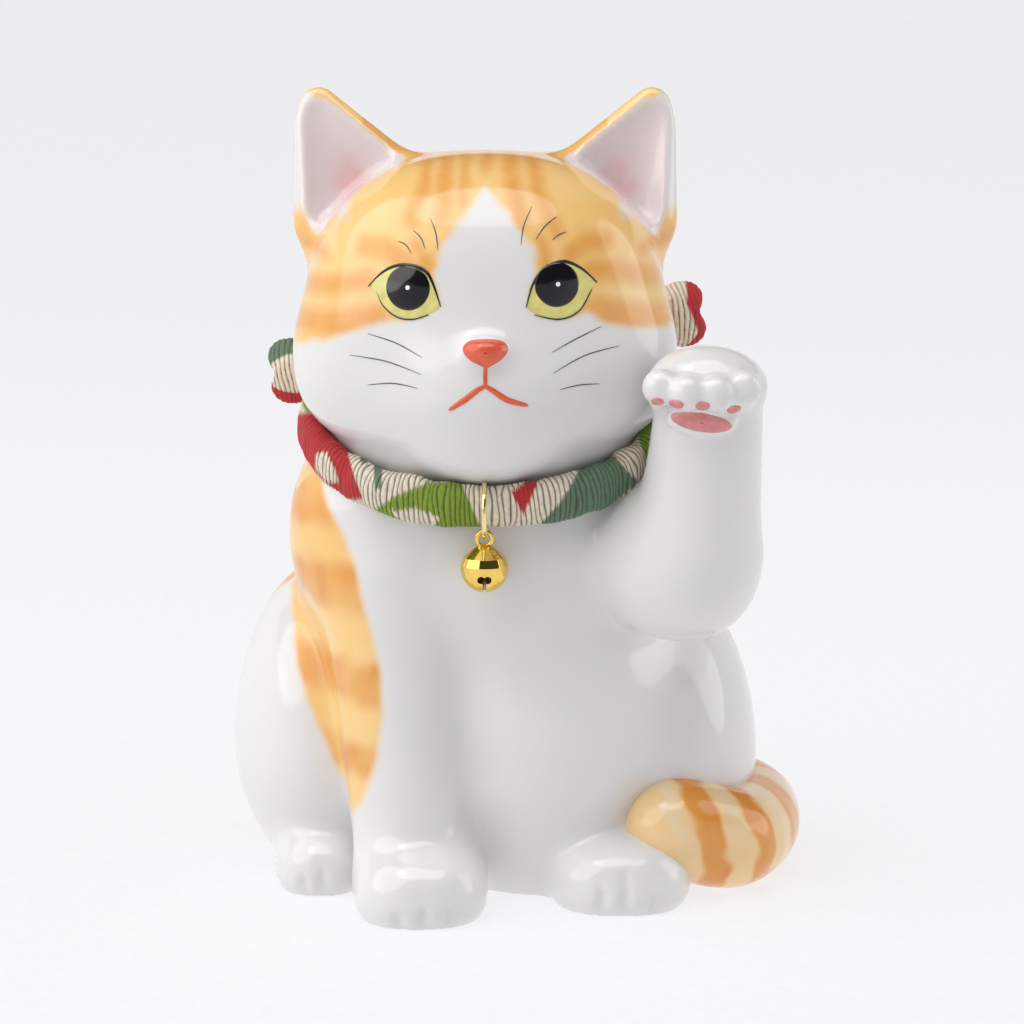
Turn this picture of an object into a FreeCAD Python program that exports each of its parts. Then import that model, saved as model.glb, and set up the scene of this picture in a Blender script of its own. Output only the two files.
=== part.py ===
import FreeCAD, Part
import math
import os
import re

import Sketcher

# Beckoning cat figurine, in millimetres.
# Frame: +Z up from the resting plane, the cat faces -Y, and +X is the cat's left side.
# The origin is on the resting plane, under the middle of the neck's width.

os.makedirs("parts", exist_ok=True)
doc = FreeCAD.newDocument("BeckoningCat")
Vector = FreeCAD.Vector
Rotation = FreeCAD.Rotation
X_AXIS = Vector(1, 0, 0)
Y_AXIS = Vector(0, 1, 0)
Z_AXIS = Vector(0, 0, 1)

# ---------------------------------------------------------------- driving dimensions
SIZES = {
    # ceramic
    "wall": 4.0,
    "chest_side_wall": 6.0,
    "chest_front_wall": 5.0,
    "haunch_roof_wall": 6.0,
    "jaw_wall": 7.0,
    "base_wall": 5.0,
    "vent_radius": 4.0,
    "vent_back": 18.0,
    "vent_length": 9.0,
    "luting_hole_radius": 3.0,
    # the luted joints' slip holes
    "shoulder_hole_inset": 4.0,
    "shoulder_hole_back": 5.0,
    "shoulder_hole_length": 40.5,
    "tail_hole_height": 14.2,
    "tail_hole_length": 23.5,
    # raised foreleg: where the elbow's centre is
    "raised_out": 52.5,
    "raised_forward": 39.5,
    "elbow_drop": 35.9,
    # neck plane, and the hole through it
    "neck_height": 117.4,
    "neck_forward": 9.5,
    "neck_lean": 24.0,
    "neck_hole_low_back": -4.8,
    "neck_hole_low_drop": 11.4,
    "neck_hole_low_ease": 1.0,
    "neck_hole_low_depth": 1.0,
    "neck_hole_high_back": -0.8,
    "neck_hole_high_rise": 18.0,
    "neck_hole_high_ease": 2.0,
    # head
    "head_rise": 29.6,
    "head_forward": 3.5,
    "throat_forward": 1.0,
    "throat_ease": 1.0,
    "throat_half_height": 22.5,
    "ear_back": 5.0,
    "ear_lean": 41.0,
    "ear_scoop_lean": 24.0,
    # collar
    "collar_half_width": 43.0,
    "collar_half_depth": 37.2,
    "collar_half_height": 4.5,
    "collar_half_thickness": 3.1,
    "collar_cloth": 0.7,
    "collar_gap": 0.3,
    "core_gap": 0.05,
    # bow
    "loop_left_roll": 6.0,
    "loop_right_roll": 7.0,
    "bow_tail_splay": 16.0,
    # bell
    "ring_inner_radius": 5.7,
    "ring_wire": 0.62,
    "ring_forward": 1.8,
    "ring_hang": 0.7,
    "ring_gap": 0.35,
    "ring_slot_half_width": 1.24,
    "eye_inner_radius": 1.25,
    "eye_wire": 0.55,
    "eye_play": 0.06,
    "bell_radius": 5.8,
    "bell_wall": 0.45,
    "bell_belt": 0.9,
    "bell_crown": 4.6,
    "bell_top_radius": 1.7,
    "bell_cap_radius": 2.6,
    "bell_cap_rise": 5.04,
    "bell_neck_radius": 5.0,
    "bell_neck_rise": 2.83,
    "slit_width": 0.8,
    "slit_top": 2.2,
    "slit_bottom": 7.0,
    "sound_hole_radius": 0.95,
    "sound_hole_spread": 0.76,
    "sound_hole_drop": 1.9,
    "pellet_radius": 1.75,
    "pellet_play": 0.05,
    # how far the plain cutting shapes reach
    "cutter_reach": 360.0,
}

# Rounded lumps: out to the cat's left, back, up, then half width, half depth and half height.
# Each is measured from the origin of the piece that it belongs to.
LUMP_WORDS = ("out", "back", "up", "half_width", "half_depth", "half_height")
LUMPS = {
    "haunch": (44.5, 13.0, 36.5, 24.5, 37.0, 38.5),
    "hind_foot_left": (33.0, -27.0, 5.0, 17.0, 18.0, 12.2),
    "hind_foot_right": (-41.0, -9.5, 5.0, 11.5, 18.0, 12.2),
    "front_paw": (-16.0, -39.5, 5.0, 16.3, 17.5, 12.6),
    "elbow": (-2.8, 4.0, 0.0, 16.6, 16.6, 14.8),
    "upper_arm": (-13.5, 17.0, 4.0, 19.6, 21.6, 18.3),
    "raised_paw": (0.4, -7.0, 49.5, 14.6, 13.8, 10.4),
    "tail_tip": (3.5, -36.8, 17.0, 12.7, 12.7, 12.45),
    "skull": (0.0, 0.0, 0.0, 43.0, 36.0, 38.6),
    "muzzle": (0.0, -22.5, -16.5, 25.0, 21.0, 19.0),
    "chin": (0.0, -19.5, -29.0, 17.5, 14.7, 10.8),
    "cheek": (20.5, -7.0, -14.0, 26.0, 27.0, 26.4),
    "ear_scoop": (34.5, -6.5, 35.6, 8.5, 9.8, 12.6),
    "knot": (0.0, 0.0, 0.0, 7.5, 5.0, 8.0),
    "loop_left": (32.0, 2.0, 5.0, 25.5, 5.6, 9.6),
    "loop_right": (-32.0, 2.0, -5.5, 25.5, 5.6, 9.6),
    "bow_tail": (9.75, 2.2, -18.5, 6.2, 2.6, 17.5),
}

# Level ellipses that a loft runs through: out, back, up, half width and half depth.
LEVEL_WORDS = ("out", "back", "up", "half_width", "half_depth")
LEVELS = {
    "torso_foot": (0.0, 15.0, -2.0, 50.0, 39.0),
    "torso_belly": (0.0, 11.5, 32.0, 53.5, 44.0),
    "torso_waist": (0.0, 5.5, 61.0, 51.0, 43.0),
    "torso_chest": (0.0, -3.2, -28.4, 48.5, 35.0),
    "torso_shoulder": (0.0, -6.8, -6.4, 45.0, 31.5),
    "torso_neck": (0.0, -1.8, 20.0, 39.0, 26.5),
    "foreleg_paw": (-16.5, -30.5, -2.0, 14.6, 14.6),
    "foreleg_shin": (-18.0, -28.5, 32.0, 14.6, 14.6),
    "foreleg_elbow": (-21.0, -24.5, 61.0, 14.6, 14.6),
    "foreleg_shoulder": (-25.0, -15.5, -24.4, 14.6, 14.6),
    "forearm_low": (-1.5, 2.0, -4.0, 14.8, 14.8),
    "forearm_middle": (0.4, 0.0, 19.0, 13.4, 13.4),
    "forearm_high": (0.9, -2.0, 38.0, 13.1, 12.8),
    "forearm_wrist": (0.7, -4.0, 48.5, 12.6, 12.4),
}

# Leaning ellipses of an ear: out, up, half length and half thickness.
EAR_WORDS = ("out", "up", "half_length", "half_thickness")
EAR_LEVELS = {
    "ear_root": (27.0, 21.2, 17.0, 8.5),
    "ear_middle": (36.5, 39.8, 10.2, 5.3),
    "ear_top": (41.0, 51.2, 2.7, 2.4),
}

# Rings of the tail, square to its path, from the rump to the tip: out, back, up and radius.
TAIL_WORDS = ("out", "back", "up", "radius")
TAIL_RINGS = {
    "tail_root": (-14.5, 19.0, 15.2, 10.2),
    "tail_rump": (8.5, 22.5, 13.2, 11.4),
    "tail_bend": (22.5, 6.0, 12.0, 12.0),
    "tail_side": (23.0, -12.0, 11.8, 12.2),
    "tail_front": (16.5, -30.0, 13.0, 12.2),
    "tail_end": (5.0, -35.4, 16.6, 12.2),
}
TAIL_HEADINGS = {
    "tail_root": 18,
    "tail_rump": -28,
    "tail_bend": -76,
    "tail_side": -100,
    "tail_front": -130,
    "tail_end": -152,
}

for words, table in (
    (LUMP_WORDS, LUMPS),
    (LEVEL_WORDS, LEVELS),
    (EAR_WORDS, EAR_LEVELS),
    (TAIL_WORDS, TAIL_RINGS),
):
    for name, values in table.items():
        for word, value in zip(words, values):
            SIZES[f"{name}_{word}"] = value

sheet = doc.addObject("Spreadsheet::Sheet", "dims")
for row, (alias, value) in enumerate(SIZES.items(), start=1):
    sheet.set(f"A{row}", alias)
    sheet.set(f"B{row}", str(value))
    sheet.setAlias(f"B{row}", alias)
doc.recompute()

# Lengths that several pieces share, each written once.
SHARED = {
    "elbow_height": "(neck_height - elbow_drop)",
    "ring_mid": "(ring_inner_radius + ring_wire)",
    "ring_outer": "(ring_inner_radius + 2 * ring_wire)",
    "eye_mid": "(eye_inner_radius + eye_wire)",
}


def dim(text):
    """An expression in the sheet's words: every known alias gets the sheet's name in front."""
    for word, meaning in SHARED.items():
        text = text.replace(word, meaning)
    return re.sub(r"[a-z_]+", lambda word: f"dims.{word[0]}" if word[0] in SIZES else word[0], text)


def worth(text):
    """The present value of a plain sum of sizes, which starts a sketch near its solution."""
    total = 0.0
    sign = 1
    for word in text.split():
        if word in ("+", "-"):
            sign = 1 if word == "+" else -1
        else:
            total += sign * SIZES[word]
    return total


def bind(obj, **sizes):
    """Bind properties to expressions. A double underscore stands for the dot in a property's path."""
    for name, text in sizes.items():
        obj.setExpression(name.replace("__", "."), dim(text))
    return obj


def place(obj, x="0", y="0", z="0"):
    bind(obj, Placement__Base__x=x, Placement__Base__y=y, Placement__Base__z=z)
    return obj


def turn(obj, axis, angle):
    """Turn about an axis by an expression. The axis has to be set before its angle is bound."""
    obj.Placement = FreeCAD.Placement(Vector(), Rotation(axis, 1.0))
    return bind(obj, Placement__Rotation__Angle=angle)


def add(kind, label):
    obj = doc.addObject(kind, label)
    obj.Label = label
    return obj


# ---------------------------------------------------------------- origins, all as expressions
FLOOR = ("0", "0", "0")
NECK = ("0", "0 - neck_forward", "neck_height")
OVER_NECK = ("0", "0", "neck_height")
HEAD = ("0", "0 - neck_forward - head_forward", "neck_height + head_rise")
RAISED = ("raised_out", "0 - raised_forward", "elbow_height")
TAIL = ("haunch_out", "haunch_back", "0")
BOW = (
    "0",
    "collar_half_depth * cos(neck_lean) - neck_forward"
    " + collar_half_thickness + knot_half_depth - collar_cloth",
    "neck_height + collar_half_depth * sin(neck_lean)",
)
RING_Y = "0 - neck_forward - collar_half_depth * cos(neck_lean) - ring_forward"
RING_Z = "neck_height - collar_half_depth * sin(neck_lean) - ring_hang"

SIDES = (("left", 1), ("right", -1))


def spot(origin, name, way=1):
    """A table row's place, measured from an origin. Way -1 mirrors it to the cat's right side."""
    x, y, z = origin
    return (f"{x} + {way} * {name}_out", f"{y} + {name}_back", f"{z} + {name}_up")


# ---------------------------------------------------------------- building blocks
def lump(label, origin, name=None, way=1, thinner=("0", "0", "0"), lean=None):
    """An ellipsoid from its row in the table of lumps, thinner by a wall when it's a hollow."""
    name = name or label
    obj = add("Part::Ellipsoid", label)
    if lean:
        turn(obj, *lean)
    bind(
        obj,
        Radius2=f"{name}_half_width - {thinner[0]}",
        Radius3=f"{name}_half_depth - {thinner[1]}",
        Radius1=f"{name}_half_height - {thinner[2]}",
    )
    return place(obj, *spot(origin, name, way))


def level_section(label, centre, half_width, half_depth):
    """A level ellipse. Its long axis is turned to whichever half size is larger."""
    obj = add("Part::Ellipse", label)
    bind(
        obj,
        MajorRadius=f"max({half_width}; {half_depth})",
        MinorRadius=f"min({half_width}; {half_depth})",
    )
    turn(obj, Z_AXIS, f"{half_width} >= {half_depth} ? 0 : 90")
    return place(obj, *centre)


def loft(label, sections):
    obj = add("Part::Loft", label)
    obj.Sections = sections
    obj.Solid = True
    obj.Ruled = False
    return obj


def table_section(label, origin, name, sides="0", front="0"):
    """A level ellipse from its row in the table of levels, thinner by its walls when it's a hollow."""
    return level_section(
        f"{label}_{name}",
        spot(origin, name),
        f"{name}_half_width - {sides}",
        f"{name}_half_depth - {front}",
    )


def level_loft(label, rows, thinner="0"):
    """A smooth solid through rows of the table of levels, each with its own origin."""
    return loft(label, [table_section(label, origin, name, thinner, thinner) for origin, name in rows])


def cylinder(label, centre, radius, height):
    """An upright cylinder, standing on its centre."""
    obj = add("Part::Cylinder", label)
    bind(obj, Radius=radius, Height=height)
    return place(obj, *centre)


def lying_cylinder(label, centre, radius, height, heading):
    """A level cylinder that starts at its centre and runs along a heading, in degrees from +X."""
    obj = cylinder(label, centre, radius, height)
    along = Vector(math.cos(math.radians(heading)), math.sin(math.radians(heading)), 0)
    obj.Placement.Rotation = Rotation(Z_AXIS, along)
    return obj


def fuse(label, shapes):
    obj = add("Part::MultiFuse", label)
    obj.Shapes = shapes
    return obj


def cut(label, base, tool):
    obj = add("Part::Cut", label)
    obj.Base = base
    obj.Tool = tool
    return obj


def cut_all(label, base, tools):
    """Cut the tools away one after another: one large boolean is less reliable than several plain ones."""
    for number, tool in enumerate(tools[:-1]):
        base = cut(f"{label}_step_{number}", base, tool)
    return cut(label, base, tools[-1])


def half_space(label, lean):
    """A wide cylinder that starts on the neck plane and fills one side of it."""
    obj = add("Part::Cylinder", label)
    bind(obj, Radius="cutter_reach", Height="cutter_reach")
    turn(obj, X_AXIS, lean)
    return place(obj, *NECK)


def collar_ring(label, half_thickness, half_height):
    """An oval tube round the neck: an upright ellipse swept along the neck's own ellipse."""
    path = add("Part::Ellipse", f"{label}_path")
    bind(
        path,
        MajorRadius="max(collar_half_width; collar_half_depth)",
        MinorRadius="min(collar_half_width; collar_half_depth)",
    )
    leant = "rotation(vector(1; 0; 0); neck_lean)"
    long_way = "rotation(vector(0; 0; 1); collar_half_width >= collar_half_depth ? 0 : 90)"
    bind(path, Placement=f"placement(vector({NECK[0]}; {NECK[1]}; {NECK[2]}); {leant} * {long_way})")
    section = add("Part::Ellipse", f"{label}_section")
    bind(section, MajorRadius=half_height, MinorRadius=half_thickness)
    # The section stands at the collar's left end: first stood upright, then leant with the neck.
    end = f"vector(collar_half_width; {NECK[1]}; {NECK[2]})"
    upright = "rotation(vector(1; 1; 1); 240)"
    bind(section, Placement=f"placement({end}; {leant} * {upright})")
    ring = add("Part::Sweep", label)
    ring.Sections = [section]
    ring.Spine = (path, ["Edge1"])
    ring.Solid = True
    ring.Frenet = True
    return ring


# ---------------------------------------------------------------- shared cutting shapes
below_floor = add("Part::Box", "below_floor")
bind(below_floor, Length="cutter_reach", Width="cutter_reach", Height="cutter_reach")
place(below_floor, "0 - cutter_reach / 2", "0 - cutter_reach / 2", "0 - cutter_reach")

above_neck = half_space("above_neck", "neck_lean")
below_neck = half_space("below_neck", "neck_lean + 180")
collar_room = collar_ring(
    "collar_room", "collar_half_thickness + collar_gap", "collar_half_height + collar_gap"
)
ring_room = lying_cylinder(
    "ring_room",
    ("0 - ring_slot_half_width", RING_Y, RING_Z),
    "ring_outer + ring_gap",
    "ring_slot_half_width * 2",
    0,
)

# ---------------------------------------------------------------- body casting
torso = level_loft("torso", [
    (FLOOR, "torso_foot"),
    (FLOOR, "torso_belly"),
    (FLOOR, "torso_waist"),
    (OVER_NECK, "torso_chest"),
    (OVER_NECK, "torso_shoulder"),
    (OVER_NECK, "torso_neck"),
])
haunch = {side: lump(f"haunch_{side}", FLOOR, "haunch", way) for side, way in SIDES}
hind_foot_left = lump("hind_foot_left", FLOOR)
hind_foot_right = lump("hind_foot_right", FLOOR)
front_paw = lump("front_paw", FLOOR)
standing_foreleg = level_loft("standing_foreleg", [
    (FLOOR, "foreleg_paw"),
    (FLOOR, "foreleg_shin"),
    (FLOOR, "foreleg_elbow"),
    (OVER_NECK, "foreleg_shoulder"),
])
body_full = fuse("body_full", [
    torso, haunch["left"], haunch["right"], hind_foot_left, hind_foot_right, front_paw, standing_foreleg,
])
body_outer = cut_all("body_outer", body_full, [below_floor, above_neck, collar_room, ring_room])

NECK_HOLE_HALF_WIDTH = "collar_half_width - collar_half_thickness - collar_gap - wall"
NECK_HOLE_HALF_DEPTH = "collar_half_depth - collar_half_thickness - collar_gap - ring_outer - wall"
torso_hollow = loft("torso_hollow", [
    level_section(
        "hollow_foot",
        ("0", "torso_foot_back", "base_wall"),
        "torso_foot_half_width - wall",
        "torso_foot_half_depth - wall",
    ),
    table_section("hollow", FLOOR, "torso_belly", "wall", "wall"),
    table_section("hollow", FLOOR, "torso_waist", "wall", "wall"),
    table_section("hollow", OVER_NECK, "torso_chest", "chest_side_wall", "chest_front_wall"),
    level_section(
        "hollow_shoulder",
        ("0", "neck_hole_low_back", "neck_height - neck_hole_low_drop"),
        f"{NECK_HOLE_HALF_WIDTH} - neck_hole_low_ease",
        f"{NECK_HOLE_HALF_DEPTH} + neck_hole_low_depth",
    ),
    level_section(
        "hollow_neck",
        ("0", "neck_hole_high_back", "neck_height + neck_hole_high_rise"),
        f"{NECK_HOLE_HALF_WIDTH} - neck_hole_high_ease",
        NECK_HOLE_HALF_DEPTH,
    ),
])
WALLS = ("wall", "wall", "wall")
hollows = [torso_hollow]
for side, way in SIDES:
    hollows.append(lump(f"haunch_hollow_{side}", FLOOR, "haunch", way, ("wall", "wall", "haunch_roof_wall")))
body_hollow = fuse("body_hollow", hollows)
vent = cylinder("vent", ("0", "vent_back", "base_wall - vent_length"), "vent_radius", "vent_length * 2")

# ---------------------------------------------------------------- raised foreleg casting
FOREARM = [(RAISED, "forearm_low"), (RAISED, "forearm_middle"), (RAISED, "forearm_high")]
raised_full = fuse("raised_full", [
    level_loft("forearm", FOREARM + [(RAISED, "forearm_wrist")]),
    lump("elbow", RAISED),
    lump("upper_arm", RAISED),
    lump("raised_paw", RAISED),
])
raised_hollow = fuse("raised_hollow", [
    level_loft("forearm_hollow", FOREARM, "wall"),
    lump("elbow_hollow", RAISED, "elbow", 1, WALLS),
])
# Slip drains and fired air escapes through one hole at each luted joint.
INTO_CHEST = 141.5
shoulder_hole = lying_cylinder(
    "shoulder_hole",
    ("raised_out - shoulder_hole_inset", "shoulder_hole_back - raised_forward", "elbow_height"),
    "luting_hole_radius",
    "shoulder_hole_length",
    INTO_CHEST,
)


# ---------------------------------------------------------------- tail casting
def tail_shape(label, thinner):
    """The tail curls forward round the left haunch: rings square to its path, and a round tip."""
    rings = []
    for name, heading in TAIL_HEADINGS.items():
        ring = add("Part::Circle", f"{label}_{name}")
        bind(ring, Radius=f"{name}_radius - {thinner}")
        along = Vector(math.cos(math.radians(heading)), math.sin(math.radians(heading)), 0)
        ring.Placement = FreeCAD.Placement(Vector(), Rotation(Z_AXIS, Vector(), along, "ZXY"))
        rings.append(place(ring, *spot(TAIL, name)))
    tip = lump(f"{label}_tip", TAIL, "tail_tip", 1, (thinner,) * 3)
    return fuse(label, [loft(f"{label}_sweep", rings), tip])


tail_full = tail_shape("tail_full", "0")
tail_hollow = tail_shape("tail_hollow", "wall")
tail_hole = lying_cylinder(
    "tail_hole",
    ("haunch_out", "haunch_back", "tail_hole_height"),
    "luting_hole_radius",
    "tail_hole_length",
    0,
)

body_casting = cut_all("body_casting", body_outer, [body_hollow, vent, shoulder_hole, tail_hole])

raised_foreleg_casting = cut_all(
    "raised_foreleg_casting",
    raised_full,
    [torso, haunch["left"], collar_room, raised_hollow, shoulder_hole],
)

tail_casting = cut_all(
    "tail_casting", tail_full, [below_floor, torso, haunch["left"], hind_foot_left, tail_hollow, tail_hole]
)

# ---------------------------------------------------------------- head casting
throat = add("Part::Ellipsoid", "throat")
bind(
    throat,
    Radius2="collar_half_width - collar_half_thickness - collar_gap + throat_ease",
    Radius3="collar_half_depth - collar_half_thickness - collar_gap",
    Radius1="throat_half_height",
)
turn(throat, X_AXIS, "neck_lean")
place(throat, "0", "0 - neck_forward - throat_forward", "neck_height")
head_parts = [lump("skull", HEAD), lump("muzzle", HEAD), lump("chin", HEAD), throat]
head_hollows = [lump("skull_hollow", HEAD, "skull", 1, WALLS)]
for side, way in SIDES:
    head_parts.append(lump(f"cheek_{side}", HEAD, "cheek", way))
    head_hollows.append(lump(f"cheek_hollow_{side}", HEAD, "cheek", way, ("wall", "wall", "jaw_wall")))


def ear(side, way):
    """A leaf through three ellipses, set square to the slope of the head and hollowed in front."""
    sections = []
    for name in EAR_LEVELS:
        section = add("Part::Ellipse", f"{name}_{side}")
        bind(section, MajorRadius=f"{name}_half_length", MinorRadius=f"{name}_half_thickness")
        turn(section, Y_AXIS * way, "ear_lean")
        x, y, z = HEAD
        sections.append(place(section, f"{x} + {way} * {name}_out", f"{y} + ear_back", f"{z} + {name}_up"))
    leaf = loft(f"ear_leaf_{side}", sections)
    scoop_lean = (Y_AXIS * way, "ear_scoop_lean")
    scoop = lump(f"ear_scoop_{side}", HEAD, "ear_scoop", way, lean=scoop_lean)
    return cut(f"ear_{side}", leaf, scoop)


for side, way in SIDES:
    head_parts.append(ear(side, way))
head_full = fuse("head_full", head_parts)
head_hollow = fuse("head_hollow", head_hollows)
head_casting = cut_all("head_casting", head_full, [below_neck, collar_room, ring_room, head_hollow])

# ---------------------------------------------------------------- collar
band_outer = collar_ring("band_outer", "collar_half_thickness", "collar_half_height")
band_inner = collar_ring(
    "band_inner", "collar_half_thickness - collar_cloth", "collar_half_height - collar_cloth"
)
collar_band = cut("collar_band", band_outer, band_inner)
collar_core = collar_ring(
    "collar_core",
    "collar_half_thickness - collar_cloth - core_gap",
    "collar_half_height - collar_cloth - core_gap",
)

# ---------------------------------------------------------------- bow
knot_full = lump("knot_full", BOW, "knot")
bow_knot = cut("bow_knot", knot_full, band_outer)
bow_loops = {}
bow_tails = {}
for side, way in SIDES:
    loop_lean = (Y_AXIS * -1, f"loop_{side}_roll")
    loop_full = lump(f"loop_full_{side}", BOW, f"loop_{side}", lean=loop_lean)
    bow_loops[side] = cut(f"bow_loop_{side}", loop_full, knot_full)
    tail_lean = (Y_AXIS * -way, "bow_tail_splay")
    cloth_end = lump(f"bow_tail_full_{side}", BOW, "bow_tail", way, lean=tail_lean)
    bow_tails[side] = cut_all(f"bow_tail_{side}", cloth_end, [knot_full, loop_full])

# ---------------------------------------------------------------- bell
RING_BOTTOM_Z = f"{RING_Z} - ring_mid"
EYE_Z = f"{RING_BOTTOM_Z} - eye_inner_radius + ring_wire + eye_play"
BELL_Z = f"{EYE_Z} - eye_mid - bell_crown - bell_belt"

bell_ring = add("Part::Torus", "bell_ring")
bell_ring.Placement = FreeCAD.Placement(Vector(), Rotation(Y_AXIS, 90))
bind(bell_ring, Radius1="ring_mid", Radius2="ring_wire")
place(bell_ring, "0", RING_Y, RING_Z)

bell_eye = add("Part::Torus", "bell_eye")
bell_eye.Placement = FreeCAD.Placement(Vector(), Rotation(X_AXIS, 90))
bind(bell_eye, Radius1="eye_mid", Radius2="eye_wire")
place(bell_eye, "0", RING_Y, EYE_Z)


def origin_plane(body, role):
    return next(item for item in body.Origin.OriginFeatures if item.Role == role)


def shell_profile(body, label, corners):
    """A closed outline of straight lines on the body's XZ plane, each corner held by two distances."""
    sketch = body.newObject("Sketcher::SketchObject", label)
    sketch.AttachmentSupport = [(origin_plane(body, "XZ_Plane"), "")]
    sketch.MapMode = "FlatFace"
    # Start at the solution, so that the solver keeps the outline's sense.
    starts = [Vector(worth(x_text or ""), worth(z_text or ""), 0) for x_text, z_text in corners]
    count = len(corners)
    for number in range(count):
        sketch.addGeometry(Part.LineSegment(starts[number], starts[(number + 1) % count]), False)
    for number in range(count):
        sketch.addConstraint(Sketcher.Constraint("Coincident", number, 2, (number + 1) % count, 1))
    for number, (x_text, z_text) in enumerate(corners):
        for kind, text, axis in (("DistanceX", x_text, -2), ("DistanceY", z_text, -1)):
            if text is None:
                sketch.addConstraint(Sketcher.Constraint("PointOnObject", number, 1, axis))
                continue
            index = sketch.addConstraint(Sketcher.Constraint(kind, -1, 1, number, 1, 1.0))
            bind(sketch, **{f"Constraints[{index}]": text})
    return sketch


def revolved(body, label, sketch):
    feature = body.newObject("PartDesign::Revolution", label)
    feature.Profile = sketch
    feature.ReferenceAxis = (sketch, ["V_Axis"])
    feature.Angle = 360.0
    return feature


def bell_body(label):
    body = add("PartDesign::Body", label)
    body.Placement = FreeCAD.Placement(Vector(), Rotation(Z_AXIS, 0))
    return place(body, "0", RING_Y, BELL_Z)


upper = bell_body("bell_upper_full")
UPPER_CORNERS = [
    ("bell_radius - bell_wall", None),
    ("bell_radius", None),
    ("bell_radius", "bell_belt"),
    ("bell_neck_radius", "bell_neck_rise"),
    ("bell_cap_radius", "bell_cap_rise"),
    ("bell_top_radius", "bell_belt + bell_crown"),
    (None, "bell_belt + bell_crown"),
    (None, "bell_belt + bell_crown - bell_wall"),
    ("bell_cap_radius - bell_wall", "bell_belt + bell_crown - bell_wall"),
    ("bell_neck_radius - bell_wall", "bell_neck_rise"),
    ("bell_radius - bell_wall", "bell_belt"),
]
revolved(upper, "upper_turned", shell_profile(upper, "upper_profile", UPPER_CORNERS))

lower = bell_body("bell_lower_shell")
lower_sketch = lower.newObject("Sketcher::SketchObject", "lower_profile")
lower_sketch.AttachmentSupport = [(origin_plane(lower, "XZ_Plane"), "")]
lower_sketch.MapMode = "FlatFace"
outer_start = SIZES["bell_radius"]
inner_start = outer_start - SIZES["bell_wall"]
for radius in (outer_start, inner_start):
    circle = Part.Circle(Vector(), Z_AXIS, radius)
    lower_sketch.addGeometry(Part.ArcOfCircle(circle, -math.pi / 2, 0.0), False)
lower_sketch.addGeometry(Part.LineSegment(Vector(0, -outer_start, 0), Vector(0, -inner_start, 0)), False)
lower_sketch.addGeometry(Part.LineSegment(Vector(inner_start, 0, 0), Vector(outer_start, 0, 0)), False)
for arc in (0, 1):
    lower_sketch.addConstraint(Sketcher.Constraint("Coincident", arc, 3, -1, 1))
    lower_sketch.addConstraint(Sketcher.Constraint("Coincident", arc, 1, 2, arc + 1))
    lower_sketch.addConstraint(Sketcher.Constraint("Coincident", arc, 2, 3, 2 - arc))
    lower_sketch.addConstraint(Sketcher.Constraint("PointOnObject", arc, 1, -2))
    lower_sketch.addConstraint(Sketcher.Constraint("PointOnObject", arc, 2, -1))
outer_index = lower_sketch.addConstraint(Sketcher.Constraint("Radius", 0, outer_start))
inner_index = lower_sketch.addConstraint(Sketcher.Constraint("Radius", 1, inner_start))
bind(lower_sketch, **{f"Constraints[{outer_index}]": "bell_radius"})
bind(lower_sketch, **{f"Constraints[{inner_index}]": "bell_radius - bell_wall"})
revolved(lower, "lower_turned", lower_sketch)
doc.recompute()


def bell_opening(label, make_outline):
    """Cut an outline right through the lower shell, front to back."""
    sketch = lower.newObject("Sketcher::SketchObject", f"{label}_outline")
    sketch.AttachmentSupport = [(origin_plane(lower, "XZ_Plane"), "")]
    sketch.MapMode = "FlatFace"
    make_outline(sketch)
    pocket = lower.newObject("PartDesign::Pocket", label)
    pocket.Profile = sketch
    pocket.Type = "ThroughAll"
    pocket.Midplane = True
    doc.recompute()


def lobe(way):
    """One of the two round lobes of the heart-shaped sound hole."""
    def outline(sketch):
        start = Vector(way * SIZES["sound_hole_spread"], -SIZES["sound_hole_drop"], 0)
        sketch.addGeometry(Part.Circle(start, Z_AXIS, SIZES["sound_hole_radius"]), False)
        index = sketch.addConstraint(Sketcher.Constraint("Radius", 0, SIZES["sound_hole_radius"]))
        bind(sketch, **{f"Constraints[{index}]": "sound_hole_radius"})
        ends = (0, 3, -1, 1) if way < 0 else (-1, 1, 0, 3)
        index = sketch.addConstraint(Sketcher.Constraint("DistanceX", *ends, abs(start.x)))
        bind(sketch, **{f"Constraints[{index}]": "sound_hole_spread"})
        index = sketch.addConstraint(Sketcher.Constraint("DistanceY", 0, 3, -1, 1, -start.y))
        bind(sketch, **{f"Constraints[{index}]": "sound_hole_drop"})
    return outline


def slit(sketch):
    """The straight slit from the sound hole down under the bell."""
    half = SIZES["slit_width"] / 2
    top = -SIZES["slit_top"]
    bottom = -SIZES["slit_bottom"]
    corners = [Vector(x, y, 0) for x, y in ((-half, bottom), (half, bottom), (half, top), (-half, top))]
    for number in range(4):
        sketch.addGeometry(Part.LineSegment(corners[number], corners[(number + 1) % 4]), False)
    for number in range(4):
        sketch.addConstraint(Sketcher.Constraint("Coincident", number, 2, (number + 1) % 4, 1))
    for number, kind in enumerate(("Horizontal", "Vertical", "Horizontal", "Vertical")):
        sketch.addConstraint(Sketcher.Constraint(kind, number))
    for ends, start, text in (
        (("DistanceX", -1, 1, 1, 1), half, "slit_width / 2"),
        (("DistanceX", 0, 1, -1, 1), half, "slit_width / 2"),
        (("DistanceY", 2, 1, -1, 1), -top, "slit_top"),
        (("DistanceY", 0, 1, -1, 1), -bottom, "slit_bottom"),
    ):
        index = sketch.addConstraint(Sketcher.Constraint(*ends, start))
        bind(sketch, **{f"Constraints[{index}]": text})


bell_opening("sound_hole_left_lobe", lobe(1))
bell_opening("sound_hole_right_lobe", lobe(-1))
bell_opening("sound_slit", slit)

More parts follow.
